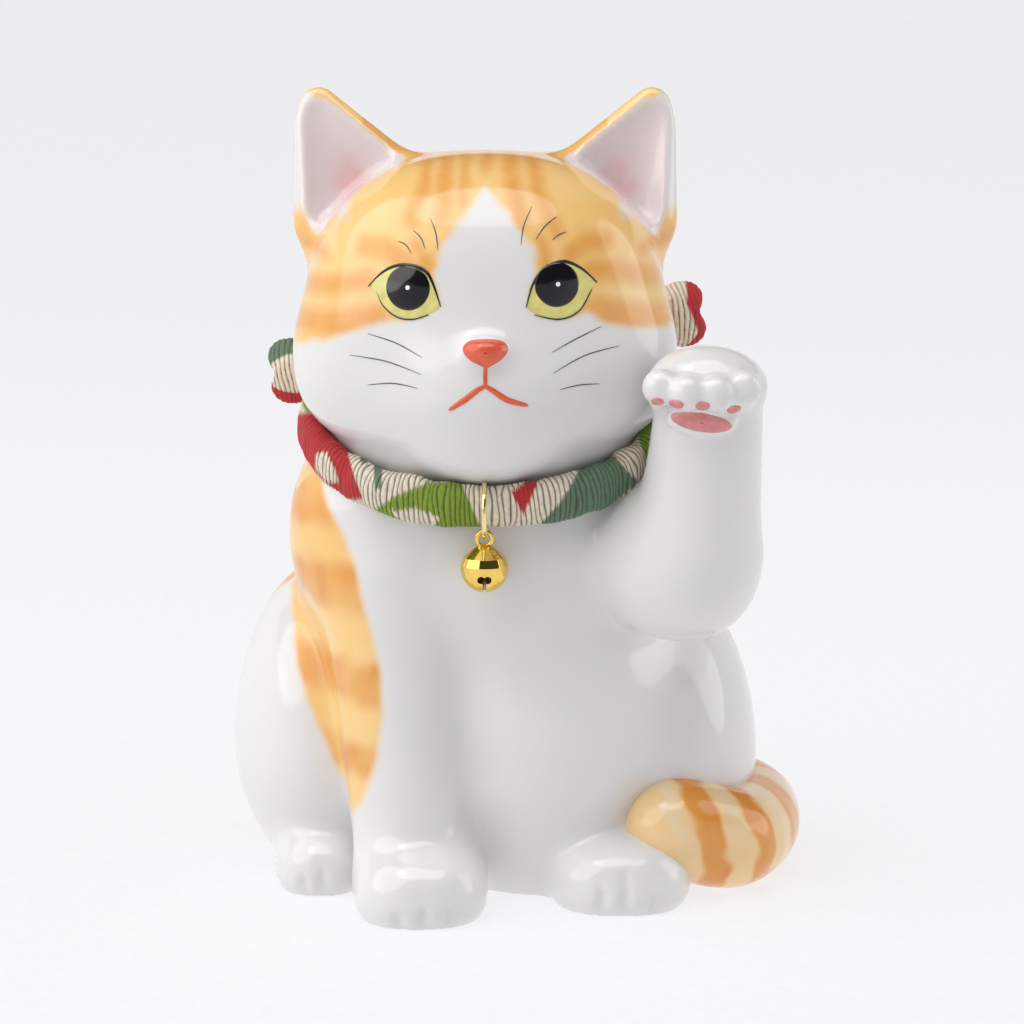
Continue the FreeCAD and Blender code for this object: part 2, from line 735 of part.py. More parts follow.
bell_upper_shell = cut("bell_upper_shell", upper, bell_eye)
bell_pellet = add("Part::Sphere", "bell_pellet")
bind(bell_pellet, Radius="pellet_radius")
place(bell_pellet, "0", RING_Y, f"{BELL_Z} - bell_radius + bell_wall + pellet_play + pellet_radius")

# ---------------------------------------------------------------- check and write
NODES = {
    "body_casting": body_casting,
    "head_casting": head_casting,
    "raised_foreleg_casting": raised_foreleg_casting,
    "tail_casting": tail_casting,
    "collar_band": collar_band,
    "collar_core": collar_core,
    "bow_knot": bow_knot,
    "bow_loop_left": bow_loops["left"],
    "bow_loop_right": bow_loops["right"],
    "bow_tail_left": bow_tails["left"],
    "bow_tail_right": bow_tails["right"],
    "bell_ring": bell_ring,
    "bell_eye": bell_eye,
    "bell_upper_shell": bell_upper_shell,
    "bell_lower_shell": lower,
    "bell_pellet": bell_pellet,
}
for node, piece in NODES.items():
    piece.Label = node
doc.recompute()
for item in doc.Objects:
    if "Invalid" in item.State or "Error" in item.State:
        raise RuntimeError(f"{item.Label} failed: {item.State}")
for node, piece in NODES.items():
    shape = piece.Shape
    if shape.isNull() or not shape.isValid():
        raise RuntimeError(f"{node} has no valid shape")
    shape.exportStep(f"parts/{node}.step")
    print(node, "solids", len(shape.Solids), "volume", round(shape.Volume, 2))
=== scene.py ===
import math

import bpy
import numpy as np
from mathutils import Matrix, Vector


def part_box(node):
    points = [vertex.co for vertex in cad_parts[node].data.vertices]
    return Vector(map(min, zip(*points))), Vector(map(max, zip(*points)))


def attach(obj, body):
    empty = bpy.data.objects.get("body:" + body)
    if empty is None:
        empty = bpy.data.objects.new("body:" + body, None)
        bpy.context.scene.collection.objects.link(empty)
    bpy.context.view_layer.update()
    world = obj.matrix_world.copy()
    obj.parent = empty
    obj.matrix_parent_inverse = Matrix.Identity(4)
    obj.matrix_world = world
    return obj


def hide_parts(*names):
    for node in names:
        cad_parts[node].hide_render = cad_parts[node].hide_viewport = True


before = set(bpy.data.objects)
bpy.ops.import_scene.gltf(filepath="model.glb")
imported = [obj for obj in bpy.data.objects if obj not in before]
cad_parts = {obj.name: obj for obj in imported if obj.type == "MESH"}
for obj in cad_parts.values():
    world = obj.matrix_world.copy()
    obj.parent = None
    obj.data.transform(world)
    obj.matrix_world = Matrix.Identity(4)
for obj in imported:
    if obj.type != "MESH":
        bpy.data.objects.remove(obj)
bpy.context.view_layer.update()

MM = 0.001


# ---------------------------------------------------------------- clay: distance fields, in millimetres
def egg(p, centre, half_x, half_y, half_z, turn=None, power=2.0):
    """A rounded lump. Each half size is one number, or two: towards minus and towards plus."""
    q = p - np.asarray(centre, np.float32)
    if turn is not None:
        q = q @ np.asarray(turn, np.float32)
    scaled = []
    for axis, half in enumerate((half_x, half_y, half_z)):
        low, high = half if isinstance(half, tuple) else (half, half)
        size = np.where(q[:, axis] < 0, np.float32(low), np.float32(high))
        scaled.append((np.abs(q[:, axis]) / size, size))
    if power == 2.0:
        reach = np.sqrt(sum(u * u for u, _ in scaled)) + 1e-6
        slope = np.sqrt(sum((u / s) ** 2 for u, s in scaled)) + 1e-6
    else:
        reach = sum(u**power for u, _ in scaled) ** (1 / power) + 1e-6
        slope = np.sqrt(sum((u ** (power - 1) / s) ** 2 for u, s in scaled)) / reach ** (power - 2) + 1e-6
    return reach * (reach - 1) / slope


def limb(p, start, end, start_radius, end_radius):
    """A tapered rod with round ends."""
    a, b = np.asarray(start, np.float32), np.asarray(end, np.float32)
    along = b - a
    length2 = float(along @ along)
    taper = start_radius - end_radius
    slant2 = length2 - taper * taper
    q = p - a
    y = q @ along
    z = y - length2
    x2 = ((q * length2 - y[:, None] * along) ** 2).sum(1)
    y2 = y * y * length2
    z2 = z * z * length2
    k = np.sign(taper) * taper * taper * x2
    beyond = np.sign(z) * slant2 * z2 > k
    before = np.sign(y) * slant2 * y2 < k
    side = (np.sqrt(x2 * slant2 / length2) + y * taper) / length2 - start_radius
    out = np.where(before, np.sqrt(x2 + y2) / length2 - start_radius, side)
    return np.where(beyond, np.sqrt(x2 + z2) / length2 - end_radius, out)


def join(a, b, soft):
    """Press two lumps together with a thumbed seam this soft."""
    h = np.maximum(soft - np.abs(a - b), 0) / soft
    return np.minimum(a, b) - h * h * h * soft / 6


def carve(a, b, soft):
    """Take lump b out of lump a and soften the rim."""
    return -join(-a, b, soft)


def groove(p, start, end, width):
    """1 along a line, falling off smoothly to 0 beside it: scaled and added, it presses a furrow."""
    a, b = np.asarray(start, np.float32), np.asarray(end, np.float32)
    along = b - a
    t = np.clip((p - a) @ along / float(along @ along), 0, 1)
    gap2 = ((p - a - t[:, None] * along) ** 2).sum(1)
    return np.exp(-gap2 / (width * width))


def turned(axis, degrees):
    """Rotation matrix whose columns are the turned axes."""
    c, s = math.cos(math.radians(degrees)), math.sin(math.radians(degrees))
    i, j = [n for n in range(3) if n != axis]
    if axis == 1:
        i, j = j, i
    out = np.eye(3)
    out[i, i] = out[j, j] = c
    out[i, j], out[j, i] = -s, s
    return out


# Neck plane, shared by head and body: it leans up towards the back, under the collar.
NECK_CENTRE = np.array([0.0, -9.5, 117.4])
NECK_LEAN = 24.0
NECK_UP = turned(0, NECK_LEAN)[:, 2]
NECK_BACK = turned(0, NECK_LEAN)[:, 1]


def above_neck(p):
    return (p - NECK_CENTRE.astype(np.float32)) @ NECK_UP.astype(np.float32)


def toe_lines(p, lines, width, depth):
    """How deep the furrows between toes press in at each point."""
    press = 0
    for start, end in lines:
        press = np.maximum(press, groove(p, start, end, width))
    return depth * press


def body_clay(p):
    chest = egg(p, (0, -3, 88), 48, 35.6, (46, 50))
    hips = egg(p, (2, 12, 33), 53, (38, 44), (40, 47), power=2.3)
    d = join(chest, hips, 30)
    belly = egg(p, (14, -3, 44), 33, 36.5, (54, 44))
    d = join(d, belly, 14)
    shoulder = egg(p, (-22, -14, 92), 25.5, 21.5, 28)
    d = join(d, shoulder, 12)
    foreleg = limb(p, (-23.5, -22, 78), (-17.8, -30.5, 10), 17.0, 14.0)
    d = join(d, foreleg, 9)
    right_haunch = egg(p, (-40.5, 13, 32.5), 24.6, (36, 38), (35, 46))
    left_haunch = egg(p, (45, 13, 28), 24.8, (37, 38), (31, 45))
    d = join(d, right_haunch, 8)
    d = join(d, left_haunch, 16)
    right_foot = egg(p, (-41.5, -8, 5), 12.0, (19.5, 16), (9, 11.5), power=2.4)
    left_foot = egg(p, (33.4, -27, 5), 17.6, (18.0, 18), (9, 13.0), power=2.4)
    front_paw = egg(p, (-15.8, -38.5, 5), 16.4, (18.0, 18), (9, 13.0), power=2.4)
    d = join(d, right_foot, 7)
    d = join(d, left_foot, 9)
    d = join(d, front_paw, 9)
    d = carve(d, limb(p, (-3.0, -45.5, 36), (-5.5, -45.5, 62), 8.0, 6.0), 8)
    d = np.maximum(d, above_neck(p))
    d += toe_lines(p, FOOT_FURROWS, 1.5, 0.95)
    d = join(d, arm_clay(p), 8)
    return np.maximum(d, -p[:, 2])


FOOT_FURROWS = [
    ((-20.8, -55.5, 1), (-20.4, -52.0, 9)), ((-14.6, -56.5, 1), (-14.8, -53.0, 10)),
    ((-8.6, -55.5, 1), (-9.4, -51.5, 9)), ((28.6, -45.5, 1), (29.0, -42.0, 9)),
    ((34.6, -45.8, 1), (34.4, -42.5, 10)), ((41.0, -43.5, 1), (40.0, -40.5, 9)),
    ((-45.5, -27.0, 1), (-44.8, -24.6, 7)), ((-40.6, -28.0, 1), (-40.8, -25.2, 8)),
]
TOES = [(41.6, -54.2, 132.6), (47.9, -57.0, 131.6), (54.6, -57.0, 131.4), (61.2, -54.4, 132.4)]


def arm_clay(p):
    upper = egg(p, (42, -22, 88), 19, 19, (17, 19))
    elbow = egg(p, (48.6, -33, 83), (18, 17.2), 15.5, (15.8, 18))
    forearm = limb(p, (51.6, -36.5, 92), (53.6, -41, 122), 15.2, 13.2)
    arm = join(join(upper, elbow, 12), forearm, 12)
    paw = egg(p, (53, -45.0, 131.2), 14.6, (11.5, 12.5), (10, 10.2))
    arm = join(arm, paw, 5)
    for toe in TOES:
        arm = join(arm, egg(p, toe, 4.3, 3.8, 4.4), 3.2)
    palm = egg(p, (51.2, -54.2, 124.8), 8.2, 2.6, 3.6)
    return join(arm, palm, 3)


def ear_limb(q, *ends_and_radii):
    """A tapered rod pressed flat, front to back. The share keeps its distances from reading too long."""
    pressed = q * np.float32([1, 2, 1]) + np.float32([0, 14, 0])
    return limb(pressed, *ends_and_radii) * 0.62


def ear_cup(q):
    """The hollow of an ear: it follows the leaf, a little in from its edge and forward of it."""
    return ear_limb(q, (31.0, -11.5, 174.5), (41.2, -2.0, 193.4), 13.2, 4.0)


def ear_clay(p, way):
    """A thick leaf whose hollow faces forward and a little outward."""
    q = p * np.float32([way, 1, 1])
    leaf = ear_limb(q, (28.5, 0, 169), (41.0, 5, 195.6), 18.0, 4.6)
    spur = ear_limb(q, (39.0, 0, 168), (41.6, 4, 190), 6.5, 4.0)
    leaf = join(leaf, spur, 5)
    return carve(leaf, ear_cup(q), 1.8)


def head_clay(p):
    skull = egg(p, (0, -13, 147), 43.6, (36, 36), (36, 38.4), power=2.3)
    cheeks = egg(p, (0, -18, 134), 46.4, (29, 27), (25.5, 27), power=2.3)
    d = join(skull, cheeks, 14)
    muzzle = egg(p, (0, -36, 129.5), 23, (20, 20), (16, 18))
    d = join(d, muzzle, 16)
    chin = egg(p, (0, -34, 117), 17, 15.0, 10.5)
    d = join(d, chin, 12)
    nose = egg(p, (0.3, -52.5, 141.2), 5.2, 4.4, (4.0, 3.0))
    d = join(d, nose, 5)
    throat = egg(p, (0, -10, 117), 39.5, 33.5, 22)
    d = join(d, throat, 3)
    for way in (-1, 1):
        d = join(d, ear_clay(p, way), 7)
    return np.maximum(d, -above_neck(p))


TAIL_PATH = [
    ((30, 32, 15), 10.2), ((53, 35.5, 13.2), 11.4), ((67, 19, 12), 12.0), ((67.5, 1, 11.8), 12.2),
    ((61, -17, 13), 12.2), ((49.5, -22.4, 16.6), 12.2), ((46, -25, 17.4), 12.0),
]


def curve_through(spots, steps, closed=False):
    """A smooth curve through the spots, with this many steps from one to the next."""
    number = len(spots)
    out = []
    for n in range(number if closed else number - 1):
        if closed:
            before, a, b, after = (spots[(n + k) % number] for k in (-1, 0, 1, 2))
        else:
            before, after = spots[max(n - 1, 0)], spots[min(n + 2, number - 1)]
            a, b = spots[n], spots[n + 1]
        for t in np.linspace(0, 1, steps, endpoint=False):
            out.append(0.5 * (2 * a + (b - before) * t + (2 * before - 5 * a + 4 * b - after) * t**2
                              + (3 * a - before - 3 * b + after) * t**3))
    out.append(spots[0] if closed else spots[-1])
    return np.array(out)


def tail_clay(p):
    path = curve_through(np.array([(*centre, radius) for centre, radius in TAIL_PATH]), 3)
    d = None
    for a, b in zip(path[:-1], path[1:]):
        piece = limb(p, a[:3], b[:3], a[3], b[3] + 1e-3)
        d = piece if d is None else join(d, piece, 3)
    return np.maximum(d, -p[:, 2])


# ---------------------------------------------------------------- from clay to mesh
BLOCK = 12


def sample(field, low, high, step):
    """The field on a grid. Away from the surface only a coarse value is kept: its sign is enough."""
    counts = [int(math.ceil((h - l) / (step * BLOCK))) for l, h in zip(low, high)]
    volume = np.empty([n * BLOCK for n in counts], np.float32)
    size = BLOCK * step
    corners = np.stack(np.meshgrid(*[np.arange(n) for n in counts], indexing="ij"), -1).reshape(-1, 3)
    middles = (np.asarray(low) + (corners + 0.5) * size).astype(np.float32)
    coarse = field(middles)
    inner = np.stack(np.meshgrid(*[np.arange(BLOCK)] * 3, indexing="ij"), -1).reshape(-1, 3) * step
    near = np.abs(coarse) < size * 1.35
    for corner, value, fine in zip(corners, coarse, near):
        i, j, k = corner * BLOCK
        if not fine:
            volume[i:i + BLOCK, j:j + BLOCK, k:k + BLOCK] = value
            continue
    chosen = corners[near]
    for start in range(0, len(chosen), 64):
        group = chosen[start:start + 64]
        points = (np.asarray(low) + group[:, None, :] * size + inner[None]).reshape(-1, 3)
        values = field(points.astype(np.float32)).reshape(len(group), BLOCK, BLOCK, BLOCK)
        for (i, j, k), block in zip(group * BLOCK, values):
            volume[i:i + BLOCK, j:j + BLOCK, k:k + BLOCK] = block
    return volume


def net(volume, low, step):
    """Quads round the zero level of a sampled field, one vertex in each cell that the surface crosses."""
    inside = volume < 0
    cells = tuple(n - 1 for n in volume.shape)
    total = np.zeros(cells, np.int8)
    offsets = [(a, b, c) for a in (0, 1) for b in (0, 1) for c in (0, 1)]
    for a, b, c in offsets:
        total += inside[a:a + cells[0], b:b + cells[1], c:c + cells[2]]
    active = np.argwhere((total > 0) & (total < 8))
    index = np.full(cells, -1, np.int32)
    index[tuple(active.T)] = np.arange(len(active), dtype=np.int32)
    corner = {o: volume[tuple((active + o).T)] for o in offsets}
    place = np.zeros((len(active), 3))
    crossings = np.zeros(len(active))
    for axis in range(3):
        for o in offsets:
            if o[axis]:
                continue
            e = tuple(v + (n == axis) for n, v in enumerate(o))
            u, v = corner[o], corner[e]
            hit = (u < 0) != (v < 0)
            t = np.where(hit, u / np.where(hit, u - v, 1), 0)
            spot = np.tile(np.array(o, float), (len(active), 1))
            spot[:, axis] += t
            place[hit] += spot[hit]
            crossings += hit
    points = np.asarray(low) + (active + place / crossings[:, None]) * step
    quads = []
    for axis in range(3):
        near = [slice(1, n - 1) for n in volume.shape]
        near[axis] = slice(0, volume.shape[axis] - 1)
        far = list(near)
        far[axis] = slice(1, volume.shape[axis])
        u, v = inside[tuple(near)], inside[tuple(far)]
        j, k = (axis + 1) % 3, (axis + 2) % 3
        for flag, order in ((u & ~v, 1), (~u & v, -1)):
            at = np.argwhere(flag) + [s.start for s in near]
            around = []
            for dj, dk in ((-1, -1), (0, -1), (0, 0), (-1, 0)):
                cell = at.copy()
                cell[:, j] += dj
                cell[:, k] += dk
                around.append(index[tuple(cell.T)])
            quads.append(np.stack(around[::order], 1))
    return points, np.concatenate(quads)


def slope_of(field, points):
    """Field value and gradient at each point."""
    here = field(points.astype(np.float32)).astype(float)
    tiny = 0.05
    slope = np.zeros_like(points)
    for axis in range(3):
        shift = np.zeros(3)
        shift[axis] = tiny
        ahead = field((points + shift).astype(np.float32))
        behind = field((points - shift).astype(np.float32))
        slope[:, axis] = (ahead - behind) / (2 * tiny)
    return here, slope


def settle(field, points, quads, rounds):
    """Even out the quads, then put every vertex back on the surface."""
    edges = np.concatenate([quads[:, [n, (n + 1) % 4]] for n in range(4)])
    for _ in range(rounds):
        total = np.zeros_like(points)
        count = np.zeros(len(points))
        for a, b in ((0, 1), (1, 0)):
            for axis in range(3):
                total[:, axis] += np.bincount(edges[:, a], points[edges[:, b], axis], len(points))
            count += np.bincount(edges[:, a], minlength=len(points))
        points = 0.4 * points + 0.6 * total / count[:, None]
        value, slope = slope_of(field, points)
        length2 = np.maximum((slope**2).sum(1), 0.04)
        points = points - slope * (value / length2)[:, None]
    return points


def mesh_object(name, points, faces):
    mesh = bpy.data.meshes.new(name)
    mesh.vertices.add(len(points))
    mesh.vertices.foreach_set("co", (np.asarray(points) * MM).astype(np.float32).ravel())
    faces = np.asarray(faces)
    mesh.loops.add(faces.size)
    mesh.loops.foreach_set("vertex_index", faces.astype(np.int32).ravel())
    mesh.polygons.add(len(faces))
    mesh.polygons.foreach_set("loop_start", np.arange(0, faces.size, faces.shape[1], dtype=np.int32))
    mesh.update(calc_edges=True)
    mesh.validate()
    mesh.polygons.foreach_set("use_smooth", np.ones(len(faces), bool))
    piece = bpy.data.objects.new(name, mesh)
    bpy.context.scene.collection.objects.link(piece)
    return piece


def sculpt(name, field, low, high, step):
    volume = sample(field, low, high, step)
    points, quads = net(volume, low, step)
    points = settle(field, points, quads, 3)
    return mesh_object(name, points, quads)


STEP = 0.85

body_glaze = sculpt("body_glaze", body_clay, (-72, -66, -3), (76, 62, 140), STEP)
head_glaze = sculpt("head_glaze", head_clay, (-54, -62, 92), (54, 32, 206), STEP)
tail_glaze = sculpt("tail_glaze", tail_clay, (14, -42, -3), (86, 54, 36), STEP)


# ---------------------------------------------------------------- paint: masks on the clay
def soft_step(value, low, high):
    t = np.clip((value - low) / (high - low), 0, 1)
    return t * t * (3 - 2 * t)


def edge_gap(u, v, line, closed):
    """Distance from each point to a line of points, and on which side a closed outline has it."""
    line = np.asarray(line, float)
    ends = np.roll(line, -1, axis=0) if closed else line[1:]
    starts = line if closed else line[:-1]
    gap = np.full(len(u), 1e9)
    inside = np.zeros(len(u), bool)
    for (ax, ay), (bx, by) in zip(starts, ends):
        dx, dy = bx - ax, by - ay
        t = np.clip(((u - ax) * dx + (v - ay) * dy) / (dx * dx + dy * dy), 0, 1)
        gap = np.minimum(gap, np.hypot(u - ax - t * dx, v - ay - t * dy))
        crosses = (ay > v) != (by > v)
        if dy:
            inside ^= crosses & (u < ax + (v - ay) / dy * dx)
    return gap, inside


def stain(u, v, outline, soft):
    """1 inside a closed outline, 0 outside, with an airbrushed edge."""
    gap, inside = edge_gap(u, v, outline, True)
    return soft_step(np.where(inside, gap, -gap), -soft, soft)


def brush(u, v, line, width, soft):
    """1 along a brush stroke, 0 away from it."""
    gap, _ = edge_gap(u, v, line, False)
    return 1 - soft_step(gap, width / 2 - soft, width / 2 + soft)


def mottle(p, scale, seed):
    """A gentle random swell between -1 and 1, the same on every run."""
    waves = np.random.default_rng(seed)
    total = 0
    for _ in range(9):
        way = waves.normal(size=3)
        way *= waves.uniform(0.6, 1.7) * 2 * math.pi / (scale * np.linalg.norm(way))
        total = total + np.sin(p @ way + waves.uniform(0, 2 * math.pi))
    return total / 4.2


WHITE_FACE = [
    (0.2, 179), (-2.6, 174.6), (-6.1, 170.5), (-10, 165.4), (-11.6, 159.7), (-10.8, 152), (-14, 149),
    (-20, 147.6), (-25, 147.2), (-30.6, 144.8), (-37, 142.4), (-44.7, 140), (-70, 136), (-70, 80), (70, 80),
    (70, 142), (45, 144), (37.4, 144.8), (29.6, 146.3), (25, 149.4), (20, 148.4), (14, 149), (10.4, 151.2),
    (12.3, 159.7), (11.6, 164.8), (8.5, 168.4), (3.1, 175.2),
]
HEAD_STROKES = [
    ([(-14, 184), (-14.2, 178), (-17.4, 171)], 3.4), ([(-9, 186), (-9.6, 179), (-10.4, 172)], 4.0),
    ([(-4.4, 187), (-4.8, 181), (-5.2, 176)], 2.6), ([(1.2, 188), (0.4, 183)], 3.0),
    ([(6.0, 187), (6.6, 180), (8.6, 171)], 3.8), ([(11, 186), (12.6, 178), (17, 168)], 3.4),
    ([(-28, 164.6), (-23.4, 164.4), (-18.8, 161.4)], 5.0),
    ([(28.4, 165.8), (24.6, 165.6), (20.4, 163.4)], 4.6),
    ([(-48, 153.4), (-36, 155), (-28, 156.8)], 4.6), ([(-48, 145.8), (-36, 146), (-26, 148.4)], 5.8),
    ([(26, 159), (34, 158), (48, 154.4)], 5.0), ([(27, 150), (34.6, 147.8), (48, 146)], 6.4),
    ([(-16, 165), (-13.6, 160)], 3.2), ([(13.6, 166), (14.6, 161)], 3.2),
    ([(-46, 163), (-39, 162)], 3.4), ([(46, 164), (39, 163)], 3.4),
]


def head_paint(p):
    """Ginger, stripe and blush amounts on the head."""
    x, y, z = p.T
    u = x + 0.35 * mottle(p, 7, 6)
    ginger = 1 - stain(u, z + 1.15 * np.maximum(y + 9, 0) + 0.4 * mottle(p, 9, 5), WHITE_FACE, 1.3)
    stripe = np.zeros(len(p))
    front = 1 - soft_step(y, -14, -4)
    for line, width in HEAD_STROKES:
        stripe = np.maximum(stripe, 0.72 * brush(u, z, line, width, 2.0) * front)
    back = 1 - front
    level = z - 0.55 * np.maximum(y + 9, 0) + 0.012 * x * x + 0.8 * mottle(p, 9, 5)
    ears = soft_step(z, 166, 172) * soft_step(np.abs(x), 18, 26)
    stripe = np.maximum(stripe, back * (1 - ears) * soft_step(np.sin(level * 0.34), 0.3, 0.9) * 0.8)
    crown = soft_step(z, 181, 186) * (np.abs(x) < 30)
    stripe = np.maximum(stripe, 0.55 * crown * soft_step(y, -24, -16))
    blush = np.zeros(len(p))
    for way in (-1, 1):
        cup = ear_cup(p.astype(np.float32) * np.float32([way, 1, 1]))
        hollow = (1 - soft_step(cup, 0.3, 1.2)) * (x * way > 14) * (y < 0)
        inward = 0.628 * (x * way - 36) - 0.778 * (z - 197)
        bare = soft_step(inward, 2.2, 3.8) * (1 - soft_step(y, -6.5, -3.5)) * soft_step(z, 168, 173)
        bare = np.maximum(hollow, bare * soft_step(x * way, 31, 35))
        ginger = ginger * (1 - bare)
        stripe = stripe * (1 - bare)
        spot = np.exp(-(((x * way - 33) / 4.5) ** 2) - ((z - 177) / 7) ** 2)
        blush = np.maximum(blush, hollow * (0.18 + 0.75 * spot * (0.75 + 0.25 * mottle(p, 5, 8))))
    return np.clip(ginger, 0, 1), stripe, blush


FLANK = [
    (-32.6, 23.6), (-27.6, 35), (-25.4, 46), (-24.7, 54.4), (-25.6, 63.2), (-28.9, 74.9), (-31.7, 86.6),
    (-34.5, 93), (-38.4, 100), (-40.3, 110), (-43, 122), (-70, 122), (-70, 78), (-49.4, 74), (-47.1, 57.2),
    (-42.4, 44.2), (-36.6, 32.2),
]
FLANK_BANDS = [(100.7, 5.4), (80.5, 5.2), (57.8, 5.4), (38.0, 3.6)]


def body_paint(p):
    """Ginger and stripe amounts on the body: a banded blade down the flank, and rings round the back."""
    x, y, z = p.T
    sway = 1.3 * mottle(p, 14, 11)
    flank = stain(x + 0.3 * sway, z, FLANK, 1.2) * (1 - soft_step(y, 2, 6))
    right_edge = np.where(z > 66, 14 - (z - 66) * 0.9, 14 + (66 - z) * 0.22)
    edge = np.where(x < 0, right_edge, 9.5 + 0.05 * (60 - z))
    middle = soft_step(np.abs(x), 0, 20)
    edge = edge * middle + 6 * (1 - middle)
    back = soft_step(y + 0.4 * sway, edge - 1.4, edge + 1.4)
    back = back * (1 - soft_step(x, 20, 30) * soft_step(z, 88, 96) * (1 - soft_step(y, -2, 6)))
    ginger = np.maximum(flank, back)
    bands = np.zeros(len(p))
    for height, half in FLANK_BANDS:
        bands = np.maximum(bands, 1 - soft_step(np.abs(z + 0.9 * sway - height), half - 2.6, half + 2.6))
    bands = bands * np.clip(0.72 + 0.3 * mottle(p, 12, 31), 0, 1)
    slant = z - 0.24 * np.abs(x) + 1.6 * sway
    rings = soft_step(np.sin(slant * 2 * math.pi / 21 + 0.8), 0.0, 0.7) * (0.75 + 0.25 * mottle(p, 22, 12))
    spine = np.exp(-((x + 0.8 * sway) / 6.0) ** 2) * soft_step(y, 10, 20)
    rings = np.clip(np.maximum(rings * (1 - 0.6 * np.exp(-((np.abs(x) - 11) / 4.0) ** 2)), spine), 0, 1)
    stripe = np.where(flank > back, bands, rings) * ginger
    return ginger, stripe, np.zeros(len(p))


def tail_paint(p):
    """Bands that fan out round the inside of the tail's curl, with a paler tip and paler gaps on its upper
    side: partly the tip's own paler colour, partly painted highlight.
    """
    x, y, z = p.T
    angle = np.degrees(np.arctan2(y - 12, x - 40)) + 1.6 * mottle(p, 10, 21) + 0.25 * (z - 14)
    angle = np.minimum(angle, 0.55 * angle - 20)
    turns = 2 * math.pi / 18.5
    bands = soft_step(np.cos((angle + 70) * turns), -0.3, 0.4) * soft_step(angle, -82, -77)
    # Partly painted highlight: from the tip on, the gaps between bands are made paler on the tail's upper
    # side only.
    pale = soft_step(np.cos((angle + 79) * turns), 0.4, 1) * soft_step(z, 12, 20)
    return 0.86 + 0.14 * bands - 0.18 * pale, bands, np.zeros(len(p))


def tint(piece, **amounts):
    """Store amounts between 0 and 1 on a piece's vertices, one layer for each name."""
    for name, values in amounts.items():
        layer = piece.data.attributes.new(name, "FLOAT", "POINT")
        layer.data.foreach_set("value", np.clip(values, 0, 1).astype(np.float32))


def vertices_mm(piece):
    flat = np.empty(len(piece.data.vertices) * 3, np.float32)
    piece.data.vertices.foreach_get("co", flat)
    return flat.reshape(-1, 3).astype(float) / MM


for piece, paint in ((body_glaze, body_paint), (head_glaze, head_paint), (tail_glaze, tail_paint)):
    ginger, stripe, blush = paint(vertices_mm(piece))
    tint(piece, ginger=ginger, stripe=stripe, blush=blush)


# ---------------------------------------------------------------- enamel laid on the glaze, slightly raised, and a painted highlight dot on each pupil
def smooth_line(points, count, closed=False):
    """Points evenly along a curve through the given ones."""
    out = curve_through(np.asarray(points, float), 12, closed)
    length = np.concatenate([[0], np.cumsum(np.linalg.norm(np.diff(out, axis=0), axis=1))])
    even = np.linspace(0, length[-1], count, endpoint=not closed)
    return np.stack([np.interp(even, length, out[:, k]) for k in range(out.shape[1])], 1)


def press_on(field, flat, lift, front=-72.0):
    """Drop points of the front view onto the clay, then raise them along its slope."""
    p = np.stack([flat[:, 0], np.full(len(flat), front), flat[:, 1]], 1)
    for _ in range(70):
        gap = field(p.astype(np.float32)).astype(float)
        p[:, 1] += np.clip(gap, -1.5, 4) * 0.75
    _, slope = slope_of(field, p)
    slope /= np.linalg.norm(slope, axis=1)[:, None]
    return p + slope * np.asarray(lift)[:, None]


class Enamel:
    """Collects the strokes and filled shapes of one colour into one mesh."""

    def __init__(self, name, field):
        self.name, self.field = name, field
        self.points, self.faces, self.count = [], [], 0

    def add(self, flat, lift, faces):
        self.points.append(press_on(self.field, flat, lift))
        self.faces.append(faces + self.count)
        self.count += len(flat)

    def shape(self, outline, lift, dome=0.0, rim=72):
        """A filled outline. Its edge is low, and its middle can be domed."""
        edge = smooth_line(outline, rim, closed=True)
        centre = edge.mean(0)
        shares = [1.0, 0.985, 0.95, 0.88, 0.78, 0.65, 0.5, 0.34, 0.18, 0.04]
        flat = np.concatenate([centre + (edge - centre) * share for share in shares])
        heights = [-0.08, lift * 0.65] + [lift + dome * (1 - max(share, 0.3) ** 2) for share in shares[2:]]
        faces = []
        for ring in range(len(shares) - 1):
            a = ring * rim + np.arange(rim)
            b = ring * rim + (np.arange(rim) + 1) % rim
            faces.append(np.stack([a, b, b + rim, a + rim], 1))
        self.add(flat, np.repeat(heights, rim), np.concatenate(faces))

    def stroke(self, line, width, lift, taper=(0.5, 0.5)):
        """A brush line. Taper is the share of the full width at its two ends."""
        length = float(np.linalg.norm(np.diff(np.asarray(line, float), axis=0), axis=1).sum())
        count = max(int(length / 0.28), 8)
        middle = smooth_line(line, count)
        way = np.gradient(middle, axis=0)
        way /= np.linalg.norm(way, axis=1)[:, None]
        side = np.stack([-way[:, 1], way[:, 0]], 1)
        t = np.linspace(0, 1, count)
        starting = taper[0] + (1 - taper[0]) * t / 0.35
        ending = taper[1] + (1 - taper[1]) * (1 - t) / 0.35
        full = np.minimum(np.minimum(starting, ending), 1)
        full = full * np.sqrt(np.clip(np.minimum(t, 1 - t) * length / width * 2, 0.02, 1))
        across = [(-1.0, -0.06), (-0.8, 0.6), (0.0, 1.0), (0.8, 0.6), (1.0, -0.06)]
        flat, lifts = [], []
        for share, height in across:
            flat.append(middle + side * (share * width / 2 * full)[:, None])
            lifts.append(np.full(count, height * lift if height > 0 else height))
        faces = []
        for k in range(len(across) - 1):
            a = k * count + np.arange(count - 1)
            faces.append(np.stack([a, a + 1, a + 1 + count, a + count], 1))
        self.add(np.concatenate(flat), np.concatenate(lifts), np.concatenate(faces))

    def finish(self):
        points = np.concatenate(self.points)
        faces = np.concatenate(self.faces)
        # Every face looks out of the clay.
        a, b, c = (points[faces[:, k]] for k in (0, 1, 2))
        flipped = np.cross(b - a, c - a)[:, 1] > 0
        faces[flipped] = faces[flipped][:, ::-1]
        return mesh_object(self.name, points, faces)


